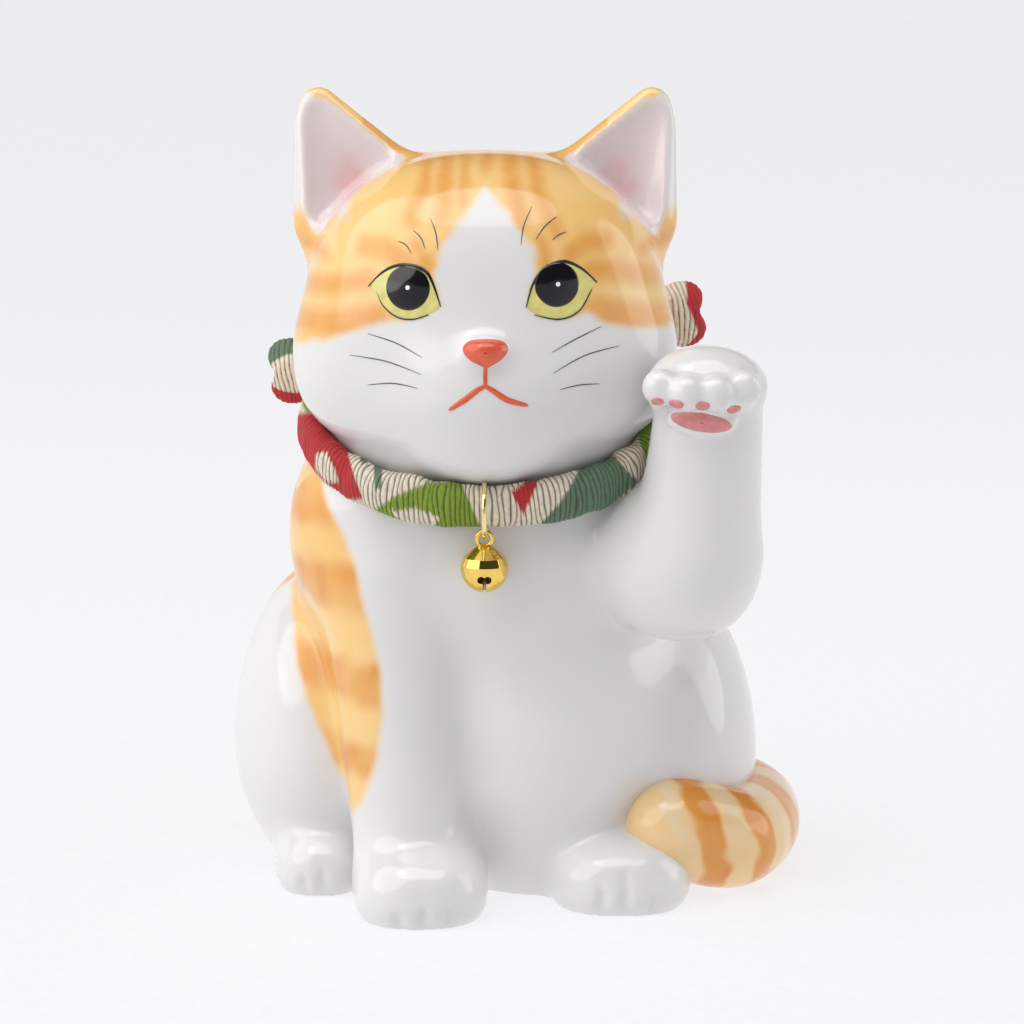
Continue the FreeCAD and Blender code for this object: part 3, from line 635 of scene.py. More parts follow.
def oval(centre, half_x, half_z, count=24, lean=0.0):
    angle = np.linspace(0, 2 * math.pi, count, endpoint=False)
    x, z = half_x * np.cos(angle), half_z * np.sin(angle)
    c, s = math.cos(lean), math.sin(lean)
    return np.stack([centre[0] + x * c - z * s, centre[1] + x * s + z * c], 1)


EYES = {
    "right": {
        "almond": [(-27.0, 155.6), (-23.4, 159.0), (-18.6, 160.4), (-13.6, 158.6), (-10.4, 151.6),
                   (-13.4, 149.2), (-17.4, 148.0), (-21.2, 148.8), (-24.4, 151.4)],
        "pupil": (-18.0, 155.2),
        "upper": [(-27.6, 155.2), (-23.4, 159.2), (-18.6, 160.6), (-13.4, 158.8), (-10.2, 151.0)],
        "lower": [(-25.6, 154.4), (-24.0, 151.0), (-20.8, 148.5), (-17.0, 148.0), (-13.0, 149.2)],
    },
    "left": {
        "almond": [(26.2, 156.5), (22.8, 159.6), (18.5, 161.1), (14.2, 159.4), (11.6, 156.0), (10.2, 151.2),
                   (12.6, 149.2), (17.8, 148.1), (22.4, 149.8), (25.2, 154.2)],
        "pupil": (17.2, 156.0),
        "upper": [(9.9, 150.8), (11.5, 156.2), (14.2, 159.7), (18.5, 161.4), (22.8, 159.8), (26.8, 156.2)],
        "lower": [(11.8, 149.2), (17.8, 148.0), (22.5, 149.8), (25.6, 154.8)],
    },
}
yellow = Enamel("eye_yellow", head_clay)
black = Enamel("eye_black", head_clay)
glint = Enamel("eye_glint", head_clay)
for eye in EYES.values():
    yellow.shape(eye["almond"], 0.12, 0.25)
    black.shape(oval(eye["pupil"], 5.3, 5.3), 0.32, 0.45)
    black.stroke(eye["upper"], 0.85, 0.3, (0.25, 0.3))
    black.stroke(eye["lower"], 0.42, 0.24, (0.3, 0.3))
    # A small white dot on each pupil: a painted highlight.
    glint.shape(oval(np.add(eye["pupil"], (0.1, 0.1)), 0.52, 0.56), 0.84)
coral = Enamel("nose_and_mouth", head_clay)
coral.shape([(-5.0, 141.8), (-3.4, 143.5), (0.4, 144.0), (4.2, 143.5), (5.7, 141.8), (4.2, 139.5),
             (2.0, 138.1), (0.6, 137.4), (-1.0, 138.1), (-3.6, 139.5)], 0.3, 0.9)
coral.stroke([(0.4, 138.2), (0.3, 135.6), (0.3, 132.8)], 1.05, 0.3, (0.9, 0.9))
coral.stroke([(0.6, 133.4), (-1.6, 132.2), (-4.4, 130.0), (-8.3, 127.3)], 1.5, 0.34, (0.7, 0.6))
coral.stroke([(0.0, 133.4), (2.4, 131.9), (5.6, 129.8), (10.4, 128.3)], 1.5, 0.34, (0.7, 0.6))
hairs = Enamel("whiskers_and_brows", head_clay)
WHISKERS = [
    [(-27.8, 144.2), (-21.0, 142.4), (-14.6, 139.3)], [(-32.2, 138.8), (-23.2, 137.9), (-14.9, 135.4)],
    [(-27.9, 131.9), (-21.6, 132.8), (-15.6, 132.1)], [(16.0, 140.4), (21.6, 143.2), (27.9, 145.9)],
    [(16.3, 135.6), (24.0, 139.3), (32.4, 141.0)], [(17.8, 131.6), (22.4, 132.3), (27.5, 132.2)],
    [(-20.5, 166.0), (-18.6, 165.2), (-17.2, 163.2)], [(-16.9, 168.6), (-15.0, 166.9), (-14.0, 164.4)],
    [(-12.9, 171.6), (-11.5, 168.2), (-10.9, 164.0)], [(8.7, 165.3), (9.4, 169.8), (11.4, 174.1)],
    [(12.2, 166.5), (14.3, 169.4), (17.2, 171.6)], [(16.1, 166.3), (17.7, 167.5), (19.5, 168.1)],
]
for line in WHISKERS:
    hairs.stroke(line, 0.34, 0.12, (0.35, 0.35))
pads = Enamel("paw_pads", body_clay)
for centre, half_x, half_z, lean in (
    ((40.9, 129.6), 1.5, 0.9, -0.2), ((45.2, 129.3), 1.7, 1.1, -0.1), ((51.3, 128.9), 1.7, 1.2, 0.0),
    ((58.9, 127.6), 1.8, 1.0, 0.15), ((51.3, 124.6), 7.4, 2.3, -0.17),
):
    pads.shape(oval(centre, half_x, half_z, lean=lean), 0.14, 0.3)
enamels = {kind.name: kind.finish() for kind in (yellow, black, glint, coral, hairs, pads)}


# ---------------------------------------------------------------- crepe cloth
CREAM = (0.80, 0.71, 0.56)
LEAF_GREEN = (0.21, 0.33, 0.02)
PINE_GREEN = (0.115, 0.20, 0.125)
RED = (0.56, 0.010, 0.022)
CREPE_PITCH = 1.22


def dye(piece, colors, furrow):
    """Store the cloth's colour, and how deep in a furrow each vertex lies; the crepe material paints shade
    into the furrows from it.
    """
    layer = piece.data.attributes.new("dye", "FLOAT_COLOR", "POINT")
    rgba = np.concatenate([colors, np.ones((len(colors), 1))], 1)
    layer.data.foreach_set("color", rgba.astype(np.float32).ravel())
    tint(piece, furrow=furrow)


def lay(colors, mask, color):
    """Lay one colour over the others where the mask says."""
    return colors * (1 - mask[:, None]) + np.array(color) * mask[:, None]


def loop_noise(s, turn, length, seed, waves, slow, fast):
    """A swell between about -1 and 1 that meets itself after one length."""
    rng = np.random.default_rng(seed)
    total = 0
    for _ in range(waves):
        cycles = int(rng.integers(slow, fast))
        total = total + np.sin(2 * math.pi * cycles * s / length + int(rng.integers(-2, 3)) * turn
                               + rng.uniform(0, 2 * math.pi))
    return total / math.sqrt(waves)


def crepe_height(phase):
    """Rounded crests with narrow furrows between them."""
    return np.abs(np.cos(phase / 2)) ** 0.7


COLLAR_HALF_WIDTH, COLLAR_HALF_DEPTH = 43.0, 37.2


def collar_path(count):
    """Even stations round the neck, starting at the throat: arc length, points and outward ways."""
    angle = np.linspace(-math.pi / 2, 1.5 * math.pi, 6000)
    wide, deep = COLLAR_HALF_WIDTH * np.cos(angle), COLLAR_HALF_DEPTH * np.sin(angle)
    length = np.concatenate([[0], np.cumsum(np.hypot(np.diff(wide), np.diff(deep)))])
    s = np.linspace(0, length[-1], count, endpoint=False)
    angle = np.interp(s, length, angle)
    across, back = np.cos(angle), np.sin(angle)
    x_way = np.array([1.0, 0, 0])
    points = NECK_CENTRE + COLLAR_HALF_WIDTH * across[:, None] * x_way
    points = points + COLLAR_HALF_DEPTH * back[:, None] * NECK_BACK
    out = (across / COLLAR_HALF_WIDTH)[:, None] * x_way + (back / COLLAR_HALF_DEPTH)[:, None] * NECK_BACK
    out /= np.linalg.norm(out, axis=1)[:, None]
    return s, points, out, length[-1]


def ring_faces(rows, columns):
    """Quads of a tube that meets itself both ways."""
    i, j = np.meshgrid(np.arange(rows), np.arange(columns), indexing="ij")
    a, b = i * columns + j, i * columns + (j + 1) % columns
    c, d = ((i + 1) % rows) * columns + (j + 1) % columns, ((i + 1) % rows) * columns + j
    return np.stack([a.ravel(), b.ravel(), c.ravel(), d.ravel()], 1)


COLLAR_SHAPES = [
    ([(-26.6, 100.5), (-22, 104.4), (-13.8, 108.2), (-5.6, 108.4), (-3.6, 104), (-0.4, 96), (-12, 94),
      (-22, 97)], LEAF_GREEN),
    ([(-23, 100.8), (-16.5, 101.8), (-10.4, 99.8), (-12.6, 97.2), (-19, 97.0)], CREAM),
    ([(6.4, 106.2), (10, 108.4), (14.4, 112), (9.3, 100.6)], RED),
    ([(12.2, 96.4), (18, 103.2), (24.6, 113.5), (31.4, 113.0), (37.4, 106.2), (27, 98)], PINE_GREEN),
    ([(37.4, 116.4), (40, 121.5), (46, 122), (44, 112), (40.2, 108.4)], LEAF_GREEN),
    ([(-39.8, 122), (-35.4, 120.8), (-33, 113), (-29.4, 103), (-34, 102), (-41.2, 107.4), (-50, 115),
      (-46, 120.4)], RED),
    ([(-41.4, 112.6), (-38.6, 113.4), (-36.4, 109.6), (-35.4, 106.4), (-38.6, 105.8), (-41.6, 108.6)],
     CREAM),
    ([(-46, 131), (-43.4, 130), (-42.0, 124.0), (-43.6, 120.6), (-47, 123.6)], LEAF_GREEN),
    ([(-29.6, 117), (-28.2, 116.6), (-28.4, 111.4), (-30.2, 111.8)], PINE_GREEN),
    ([(-26.8, 112), (-24.6, 111.2), (-24.8, 106.8), (-26.4, 105.8)], PINE_GREEN),
]
# Where a patch sits behind the neck: its distance round the collar from the throat, and its colour.
BACK_PATCHES = [(62, RED), (84, LEAF_GREEN), (150, PINE_GREEN), (172, RED), (198, PINE_GREEN)]


def collar_cloth():
    """The padded tube round the neck: pinched under the ring, and ridged across."""
    rows = 1440
    columns = 44
    s, middle, out, length = collar_path(rows)
    turn = np.linspace(0, 2 * math.pi, columns, endpoint=False)
    ss, tt = np.meshgrid(s, turn, indexing="ij")
    near_ring = np.exp(-((np.minimum(s, length - s) / 4.5) ** 2))
    half_height = 5.9 + 0.16 * loop_noise(s, 0, length, 3, 5, 5, 17) - 1.0 * near_ring
    half_thick = 3.55 + 0.2 * loop_noise(s, 0, length, 4, 5, 5, 17) - 0.5 * near_ring
    c, sn = np.cos(tt), np.sin(tt)
    square = (np.abs(c) ** 2.3 + np.abs(sn) ** 2.3) ** (-1 / 2.3)
    outward = c * square * half_thick[:, None]
    upward = sn * square * half_height[:, None]
    dimples = 0.22 * loop_noise(ss, tt, length, 5, 8, 14, 40)
    ridges = round(length / CREPE_PITCH)
    wander = 2.0 * loop_noise(ss, tt, length, 6, 5, 5, 24)
    wander = wander + 0.95 * loop_noise(ss, 2 * tt, length, 7, 6, 30, 70)
    crest = crepe_height(2 * math.pi * ridges * ss / length + wander + 1.1 * sn)
    strength = 0.34 * (0.75 + 0.35 * loop_noise(ss, tt, length, 8, 6, 10, 50))
    swell = dimples + strength * (crest - 0.6)
    grow = 1 + swell / np.hypot(outward, upward)
    points = middle[:, None] + out[:, None] * (outward * grow)[..., None]
    points = (points + NECK_UP * (upward * grow)[..., None]).reshape(-1, 3)
    piece = mesh_object("collar_cloth", points, ring_faces(rows, columns)[:, ::-1])
    colors = np.tile(np.array(CREAM), (len(points), 1))
    x, y, z = points.T
    fray = 0.25 * np.sign(np.sin(2 * math.pi * ridges * ss / length + wander)).ravel()
    front = y < 8
    for outline, color in COLLAR_SHAPES:
        colors = lay(colors, stain(x, z + fray, outline, 0.22) * front, color)
    for place, color in BACK_PATCHES:
        patch = [(place - 7, -3.5), (place + 5, -7), (place + 8, 3), (place - 2, 7)]
        level = upward.ravel()
        colors = lay(colors, stain(ss.ravel() + fray, level, patch, 0.3) * ~front, color)
    dye(piece, colors, 1 - crest.ravel())
    return piece


def puff(points, faces, pinned, pressure, cap):
    """Blow cloth up from inside for 20 steps of simulation. No point moves further than the cap, in mm."""
    scale = 10.0
    cloth = mesh_object("cloth_trial", points * scale, faces)
    group = cloth.vertex_groups.new(name="pinned")
    group.add([int(n) for n in np.flatnonzero(pinned)], 1.0, "REPLACE")
    blown = cloth.modifiers.new("cloth", "CLOTH")
    settings = blown.settings
    settings.quality = 6
    settings.mass = 0.25
    settings.tension_stiffness = settings.compression_stiffness = 12
    settings.shear_stiffness = 6
    settings.bending_stiffness = 0.4
    settings.use_pressure = True
    settings.uniform_pressure_force = pressure
    settings.effector_weights.gravity = 0
    settings.vertex_group_mass = "pinned"
    settings.shrink_min = -0.06
    scene = bpy.context.scene
    for step in range(1, 21):
        scene.frame_set(step)
    shown = cloth.evaluated_get(bpy.context.evaluated_depsgraph_get())
    flat = np.empty(len(points) * 3, np.float32)
    shown.data.vertices.foreach_get("co", flat)
    moved = flat.reshape(-1, 3) / (MM * scale) - points
    scene.frame_set(1)
    bpy.data.objects.remove(cloth, do_unlink=True)
    length = np.linalg.norm(moved, axis=1)
    moved *= (np.minimum(length, cap) / np.maximum(length, 1e-6))[:, None]
    return points + moved


def pouch(name, half_width, length, thick, long_count, wide_count, pressure, cap):
    """A cloth bag, flat before it is filled: along runs from the knot, across runs over its width."""
    along = np.linspace(0, 1, long_count)
    across = np.linspace(-1, 1, wide_count)
    a, c = np.meshgrid(along, across, indexing="ij")
    width = half_width(a)
    fold = 1 + 0.35 * np.sin(c * 7.0 + 1.2) * np.exp(-a * 5)
    depth = thick * (1 - c**4) ** 0.5 * np.minimum(1, (1 - a) * 9) ** 0.5 * fold + 0.05
    x, z = a * length, c * width
    top = np.stack([x, -depth, z], -1).reshape(-1, 3)
    bottom = np.stack([x, depth, z], -1).reshape(-1, 3)
    total = long_count * wide_count
    i, j = np.meshgrid(np.arange(long_count - 1), np.arange(wide_count - 1), indexing="ij")
    corner = (i * wide_count + j).ravel()
    front = np.stack([corner, corner + wide_count, corner + wide_count + 1, corner + 1], 1)
    faces = [front, front[:, ::-1] + total]
    rim = np.concatenate([
        np.arange(wide_count), (np.arange(1, long_count)) * wide_count + wide_count - 1,
        (long_count - 1) * wide_count + np.arange(wide_count - 2, -1, -1),
        np.arange(long_count - 2, 0, -1) * wide_count,
    ])
    after = np.roll(rim, -1)
    faces.append(np.stack([rim, after, after + total, rim + total], 1))
    points = np.concatenate([top, bottom])
    faces = np.concatenate(faces)
    u, v = np.tile(a.ravel(), 2), np.tile(c.ravel(), 2)
    points = puff(points, faces, u < 0.05, pressure, cap)
    piece = mesh_object(name, points, faces)
    for word, values in (("run", u), ("width", v)):
        layer = piece.data.attributes.new(word, "FLOAT", "POINT")
        layer.data.foreach_set("value", values.astype(np.float32))
    finer = piece.modifiers.new("finer", "SUBSURF")
    finer.levels = finer.render_levels = 1
    return piece


def apply_modifiers(piece):
    """Keep the shape that the modifiers give, without them."""
    shown = piece.evaluated_get(bpy.context.evaluated_depsgraph_get())
    mesh = bpy.data.meshes.new_from_object(shown)
    piece.modifiers.clear()
    old = piece.data
    piece.data = mesh
    bpy.data.meshes.remove(old)
    mesh.name = piece.name


def read(piece, word):
    values = np.empty(len(piece.data.vertices), np.float32)
    piece.data.attributes[word].data.foreach_get("value", values)
    return values.astype(float)


def crimp(piece, length, half_width, seed):
    """Raise the crepe's ridges, and return where each vertex lies and how deep its furrow is."""
    apply_modifiers(piece)
    u, v = read(piece, "run") * length, read(piece, "width")
    wander = 1.5 * np.sin(u * 0.31 + v * 2.1 + seed) + 0.8 * np.sin(u * 0.13 - v * 3.7 + 2 * seed)
    wander = wander + 0.5 * np.sin(u * 0.9 + v * 6.0 + 3 * seed)
    crest = crepe_height(2 * math.pi * u / CREPE_PITCH + wander)
    flat = np.empty(len(u) * 3, np.float32)
    piece.data.vertices.foreach_get("co", flat)
    normals = np.empty(len(u) * 3, np.float32)
    piece.data.vertices.foreach_get("normal", normals)
    points = flat.reshape(-1, 3) + normals.reshape(-1, 3) * (0.26 * MM * (crest - 0.6))[:, None]
    piece.data.vertices.foreach_set("co", points.astype(np.float32).ravel())
    piece.data.update()
    piece.data.polygons.foreach_set("use_smooth", np.ones(len(piece.data.polygons), bool))
    return u, v * half_width, 1 - crest


def seat(piece, place, matrix):
    """Put a piece that was made at the origin in its place, its vertices included."""
    flat = np.empty(len(piece.data.vertices) * 3, np.float32)
    piece.data.vertices.foreach_get("co", flat)
    points = flat.reshape(-1, 3) @ np.asarray(matrix).T + np.asarray(place) * MM
    piece.data.vertices.foreach_set("co", points.astype(np.float32).ravel())
    if np.linalg.det(matrix) < 0:
        piece.data.flip_normals()
    piece.data.update()


def loop_width(a):
    """Half width of a loop along its length: narrow at the knot, full, then round at its end."""
    swell = 3.4 + 6.4 * np.sin(np.minimum(a / 0.68, 1) * math.pi / 2) ** 1.2
    corner = np.clip((a - 0.80) / 0.20, 0, 1)
    return swell * np.maximum(1 - corner**2.6, 0.02) ** (1 / 2.6)


def tail_width(a):
    """Half width of a bow end along its length."""
    return 2.6 + 3.4 * np.minimum(a / 0.8, 1) - 0.2 * a


def bow_piece(solid, kind):
    """A loop or an end of the bow, filled like its solid in the frame."""
    low, high = (np.array(v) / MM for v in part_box(solid))
    centre = (low + high) / 2
    way = 1 if centre[0] > 0 else -1
    mirror = np.diag([way, 1, 1])
    if kind == "loop":
        length = 53.0
        piece = pouch(solid.replace("bow", "cloth"), loop_width, length, 2.6, 92, 30, 5.0, 3.2)
        u, level, furrow = crimp(piece, length, 10, 1.0 + way)
        lean = 6.0 if way > 0 else -7.0
        matrix = turned(1, -lean * way) @ mirror
        start = np.array([5.8 * way, centre[1] - 0.4, centre[2] - math.sin(math.radians(lean)) * 26])
    else:
        length = 35.0
        piece = pouch(solid.replace("bow", "cloth"), tail_width, length, 0.9, 64, 18, 1.6, 1.4)
        u, level, furrow = crimp(piece, length, 6, 2.0 + way)
        lean = 74.0
        matrix = mirror @ turned(1, lean)
        start = np.array([centre[0] - way * 5.0, centre[1] - 0.2, high[2] - 1.0])
    colors = np.tile(np.array(CREAM), (len(u), 1))
    for outline, color in BOW_SHAPES[solid]:
        colors = lay(colors, stain(u, level, outline, 0.3), color)
    dye(piece, colors, furrow)
    seat(piece, start, matrix)
    return piece


BOW_SHAPES = {
    "bow_loop_left": [([(43, -12), (49.5, -6), (47, 3), (49, 12), (60, 14), (60, -14)], RED),
                      ([(12, -12), (20, 0), (30, -12)], PINE_GREEN), ([(14, 12), (24, 4), (28, 12)], RED)],
    "bow_loop_right": [([(34, 12), (38, 3), (46, 5), (54, 3), (60, 12)], PINE_GREEN),
                       ([(40, -12), (44, -5.4), (60, -4.4), (60, -12)], RED),
                       ([(10, -12), (16, -2), (27, 2), (24, -12)], LEAF_GREEN)],
    "bow_tail_left": [([(16, -8), (24, 0), (20, 8), (34, 8), (38, -8)], RED)],
    "bow_tail_right": [([(10, -8), (17, 8), (24, 8), (22, -8)], LEAF_GREEN)],
}


def knot_cloth():
    """The wrapped middle of the bow: an upright band, drawn in and wrinkled."""
    low, high = (np.array(v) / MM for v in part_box("bow_knot"))
    centre, half = (low + high) / 2, (high - low) / 2
    rows, columns = 150, 90
    turn = np.linspace(0, 2 * math.pi, rows, endpoint=False)
    level = np.linspace(-1, 1, columns)
    tt, ll = np.meshgrid(turn, level, indexing="ij")
    crest = crepe_height(34 * tt + 1.4 * np.sin(ll * 5) + np.sin(tt * 3))
    folds = 0.5 * np.sin(ll * 13 + 0.8 * np.sin(tt * 2)) + 0.25 * np.sin(ll * 21 + 2 * np.cos(tt))
    round_x = np.maximum(1 - np.abs(ll) ** 3.0, 0) ** (1 / 3.0)
    grow = round_x * (1 + (0.05 * folds + 0.028 * (crest - 0.5)))
    points = np.stack([
        centre[0] + ll * half[0] * 0.96,
        centre[1] + np.cos(tt) * grow * half[1],
        centre[2] + np.sin(tt) * grow * half[2],
    ], -1).reshape(-1, 3)
    i, j = np.meshgrid(np.arange(rows), np.arange(columns - 1), indexing="ij")
    a = i * columns + j
    b = ((i + 1) % rows) * columns + j
    faces = np.stack([a.ravel(), b.ravel(), (b + 1).ravel(), (a + 1).ravel()], 1)
    piece = mesh_object("cloth_knot", points, faces)
    colors = np.tile(np.array(CREAM), (len(points), 1))
    patch = [(-8, 4), (0, 9), (8, 6), (8, -1), (-8, -1)]
    colors = lay(colors, stain(ll.ravel() * 7, tt.ravel() * 4, patch, 0.3), RED)
    dye(piece, colors, 1 - crest.ravel())
    return piece


cloth_pieces = {"collar_cloth": (collar_cloth(), ("collar_band", "collar_core"))}
for solid, kind in (("bow_loop_left", "loop"), ("bow_loop_right", "loop"),
                   ("bow_tail_left", "tail"), ("bow_tail_right", "tail")):
    cloth_pieces[solid] = (bow_piece(solid, kind), (solid,))
cloth_pieces["bow_knot"] = (knot_cloth(), ("bow_knot",))


# ---------------------------------------------------------------- looks
def group(name, ins, outs):
    """An empty shader node group, with its ends."""
    tree = bpy.data.node_groups.new(name, "ShaderNodeTree")
    for word, kind, default in ins:
        socket = tree.interface.new_socket(word, in_out="INPUT", socket_type=kind)
        socket.default_value = default
    for word, kind in outs:
        tree.interface.new_socket(word, in_out="OUTPUT", socket_type=kind)
    return tree, tree.nodes.new("NodeGroupInput"), tree.nodes.new("NodeGroupOutput")


def node(tree, kind, **settings):
    """A shader node with these settings."""
    made = tree.nodes.new(kind)
    for word, value in settings.items():
        setattr(made, word, value)
    return made


def mix(tree, share, first, second):
    """Mix two colours. Each of the three is a socket or a constant."""
    made = node(tree, "ShaderNodeMix", data_type="RGBA")
    sockets = [s for s in made.inputs if s.name in ("Factor", "A", "B") and s.enabled]
    for socket, value in zip(sockets, (share, first, second)):
        if isinstance(value, bpy.types.NodeSocket):
            tree.links.new(value, socket)
        elif isinstance(value, (int, float)):
            socket.default_value = value
        else:
            socket.default_value = (*value, 1)
    return [s for s in made.outputs if s.enabled][0]


def math_node(tree, kind, first, second):
    made = node(tree, "ShaderNodeMath", operation=kind)
    for socket, value in zip(made.inputs, (first, second)):
        if isinstance(value, bpy.types.NodeSocket):
            tree.links.new(value, socket)
        else:
            socket.default_value = value
    return made.outputs[0]


def noise(tree, scale, detail=2.0, stretch=(1, 1, 1)):
    spot = node(tree, "ShaderNodeTexCoord")
    shaped = node(tree, "ShaderNodeMapping")
    shaped.inputs["Scale"].default_value = stretch
    tree.links.new(spot.outputs["Object"], shaped.inputs["Vector"])
    made = node(tree, "ShaderNodeTexNoise")
    made.inputs["Scale"].default_value = scale
    made.inputs["Detail"].default_value = detail
    tree.links.new(shaped.outputs["Vector"], made.inputs["Vector"])
    return made.outputs["Fac"]


def ramp(tree, value, low, high, to_low, to_high):
    made = node(tree, "ShaderNodeMapRange")
    for word, number in (("From Min", low), ("From Max", high), ("To Min", to_low), ("To Max", to_high)):
        made.inputs[word].default_value = number
    tree.links.new(value, made.inputs["Value"])
    return made.outputs["Result"]


# Glaze: slow waves in a thick clear coat, and faint dulling.
glaze, glaze_in, glaze_out = group(
    "glaze_surface",
    [("Wave Size", "NodeSocketFloat", 1.0), ("Base Roughness", "NodeSocketFloat", 0.07)],
    [("Height", "NodeSocketFloat"), ("Roughness", "NodeSocketFloat")],
)
waves = math_node(glaze, "MULTIPLY", noise(glaze, 70, 1.0), glaze_in.outputs["Wave Size"])
pits = math_node(glaze, "MULTIPLY", noise(glaze, 900, 2.0), 0.06)
glaze.links.new(math_node(glaze, "ADD", waves, pits), glaze_out.inputs["Height"])
dull = ramp(glaze, noise(glaze, 45, 3.0), 0.35, 0.75, 0.0, 0.035)
dull = math_node(glaze, "ADD", dull, glaze_in.outputs["Base Roughness"])
glaze.links.new(dull, glaze_out.inputs["Roughness"])

# Airbrushed enamel: white ware, ginger mottled from light to deep, darker stripes and a pink blush.
spray, spray_in, spray_out = group(
    "airbrushed_fur",
    [(word, "NodeSocketFloat", 0.0) for word in ("Ginger", "Stripe", "Blush")],
    [("Color", "NodeSocketColor")],
)
tone = ramp(spray, noise(spray, 30, 2.0), 0.3, 0.7, 0, 1)
ware = mix(spray, tone, (0.765, 0.75, 0.743), (0.79, 0.773, 0.766))
cloudy = ramp(spray, noise(spray, 70, 4.0, (1, 1, 0.55)), 0.3, 0.8, 0, 0.75)
ginger_color = mix(spray, cloudy, (0.92, 0.63, 0.27), (0.88, 0.49, 0.13))
streaky = ramp(spray, noise(spray, 160, 3.0, (1, 1, 0.4)), 0.3, 0.7, 0, 1)
deep = mix(spray, streaky, (0.79, 0.33, 0.06), (0.72, 0.25, 0.035))
covered = math_node(spray, "MULTIPLY", spray_in.outputs["Stripe"], 0.92)
ginger_color = mix(spray, covered, ginger_color, deep)
color = mix(spray, spray_in.outputs["Ginger"], ware, ginger_color)
color = mix(spray, spray_in.outputs["Blush"], color, (0.80, 0.42, 0.42))
spray.links.new(color, spray_out.inputs["Color"])


def fresh(name):
    material = bpy.data.materials.new(name)
    material.use_nodes = True
    tree = material.node_tree
    return material, tree, tree.nodes["Principled BSDF"]


def use(tree, made, **inputs):
    used = node(tree, "ShaderNodeGroup", node_tree=made)
    for word, value in inputs.items():
        socket = used.inputs[word.replace("_", " ")]
        if isinstance(value, bpy.types.NodeSocket):
            tree.links.new(value, socket)
        else:
            socket.default_value = value
    return used


def attribute(tree, word, output="Fac"):
    made = node(tree, "ShaderNodeAttribute", attribute_name=word)
    return made.outputs[output]


def bump(tree, shader, height, distance, strength=1.0):
    made = node(tree, "ShaderNodeBump")
    made.inputs["Distance"].default_value = distance
    made.inputs["Strength"].default_value = strength
    tree.links.new(height, made.inputs["Height"])
    tree.links.new(made.outputs["Normal"], shader.inputs["Normal"])


def glazed(name, color=None, roughness=0.12, coat=0.12, wave=1.0):
    material, tree, shader = fresh(name)
    surface = use(tree, glaze, Wave_Size=wave, Base_Roughness=roughness)
    tree.links.new(surface.outputs["Roughness"], shader.inputs["Roughness"])
    bump(tree, shader, surface.outputs["Height"], 0.00012, 0.5)
    shader.inputs["Coat Weight"].default_value = coat
    shader.inputs["Coat Roughness"].default_value = 0.03
    if color is None:
        fur = use(tree, spray, Ginger=attribute(tree, "ginger"), Stripe=attribute(tree, "stripe"),
                  Blush=attribute(tree, "blush"))
        tree.links.new(fur.outputs["Color"], shader.inputs["Base Color"])
        shader.inputs["Subsurface Weight"].default_value = 0.08
        shader.inputs["Subsurface Radius"].default_value = (0.003, 0.002, 0.0015)
    else:
        deeper = tuple(0.82 * part for part in color)
        tone = mix(tree, ramp(tree, noise(tree, 420, 3.0), 0.35, 0.7, 0, 1), color, deeper)
        tree.links.new(tone, shader.inputs["Base Color"])
    return material


porcelain = glazed("porcelain")
enamel_looks = {
    "eye_yellow": glazed("yellow_enamel", (0.78, 0.71, 0.24)),
    "eye_black": glazed("black_enamel", (0.006, 0.006, 0.008), 0.10, 0.4),
    "eye_glint": glazed("painted_glint_white", (0.95, 0.95, 0.95)),
    "nose_and_mouth": glazed("coral_enamel", (0.80, 0.125, 0.055)),
    "whiskers_and_brows": glazed("grey_enamel", (0.10, 0.095, 0.11)),
    "paw_pads": glazed("pink_enamel", (0.74, 0.27, 0.26)),
}

# Crepe: a twisted thread along each ridge, threads that take the dye unevenly, and painted shade that
# darkens the dye in the furrows between ridges.
weave, weave_in, weave_out = group(
    "crepe_weave",
    [("Dye", "NodeSocketColor", (0.8, 0.7, 0.6, 1)), ("Furrow", "NodeSocketFloat", 0.0)],
    [("Color", "NodeSocketColor"), ("Height", "NodeSocketFloat"), ("Roughness", "NodeSocketFloat")],
)
thread = noise(weave, 5200, 2.0, (1, 1, 0.3))
uneven = ramp(weave, noise(weave, 900, 3.0), 0.3, 0.7, 0.86, 1.08)
pale = node(weave, "ShaderNodeHueSaturation")
weave.links.new(uneven, pale.inputs["Value"])
weave.links.new(weave_in.outputs["Dye"], pale.inputs["Color"])
# Painted shade: the deeper a point lies in a furrow, the more its dye is darkened towards near black.
shade = ramp(weave, weave_in.outputs["Furrow"], 0.2, 0.8, 0.0, 0.9)
furrow_shaded = mix(weave, shade, pale.outputs["Color"], (0.07, 0.052, 0.035))
weave.links.new(furrow_shaded, weave_out.inputs["Color"])
weave.links.new(thread, weave_out.inputs["Height"])
weave.links.new(ramp(weave, thread, 0.3, 0.7, 0.72, 0.9), weave_out.inputs["Roughness"])

crepe, tree, shader = fresh("crepe")
woven = use(tree, weave, Dye=attribute(tree, "dye", "Color"), Furrow=attribute(tree, "furrow"))
tree.links.new(woven.outputs["Color"], shader.inputs["Base Color"])
tree.links.new(woven.outputs["Roughness"], shader.inputs["Roughness"])
bump(tree, shader, woven.outputs["Height"], 0.00008, 0.8)
shader.inputs["Sheen Weight"].default_value = 0.08
shader.inputs["Sheen Roughness"].default_value = 0.5

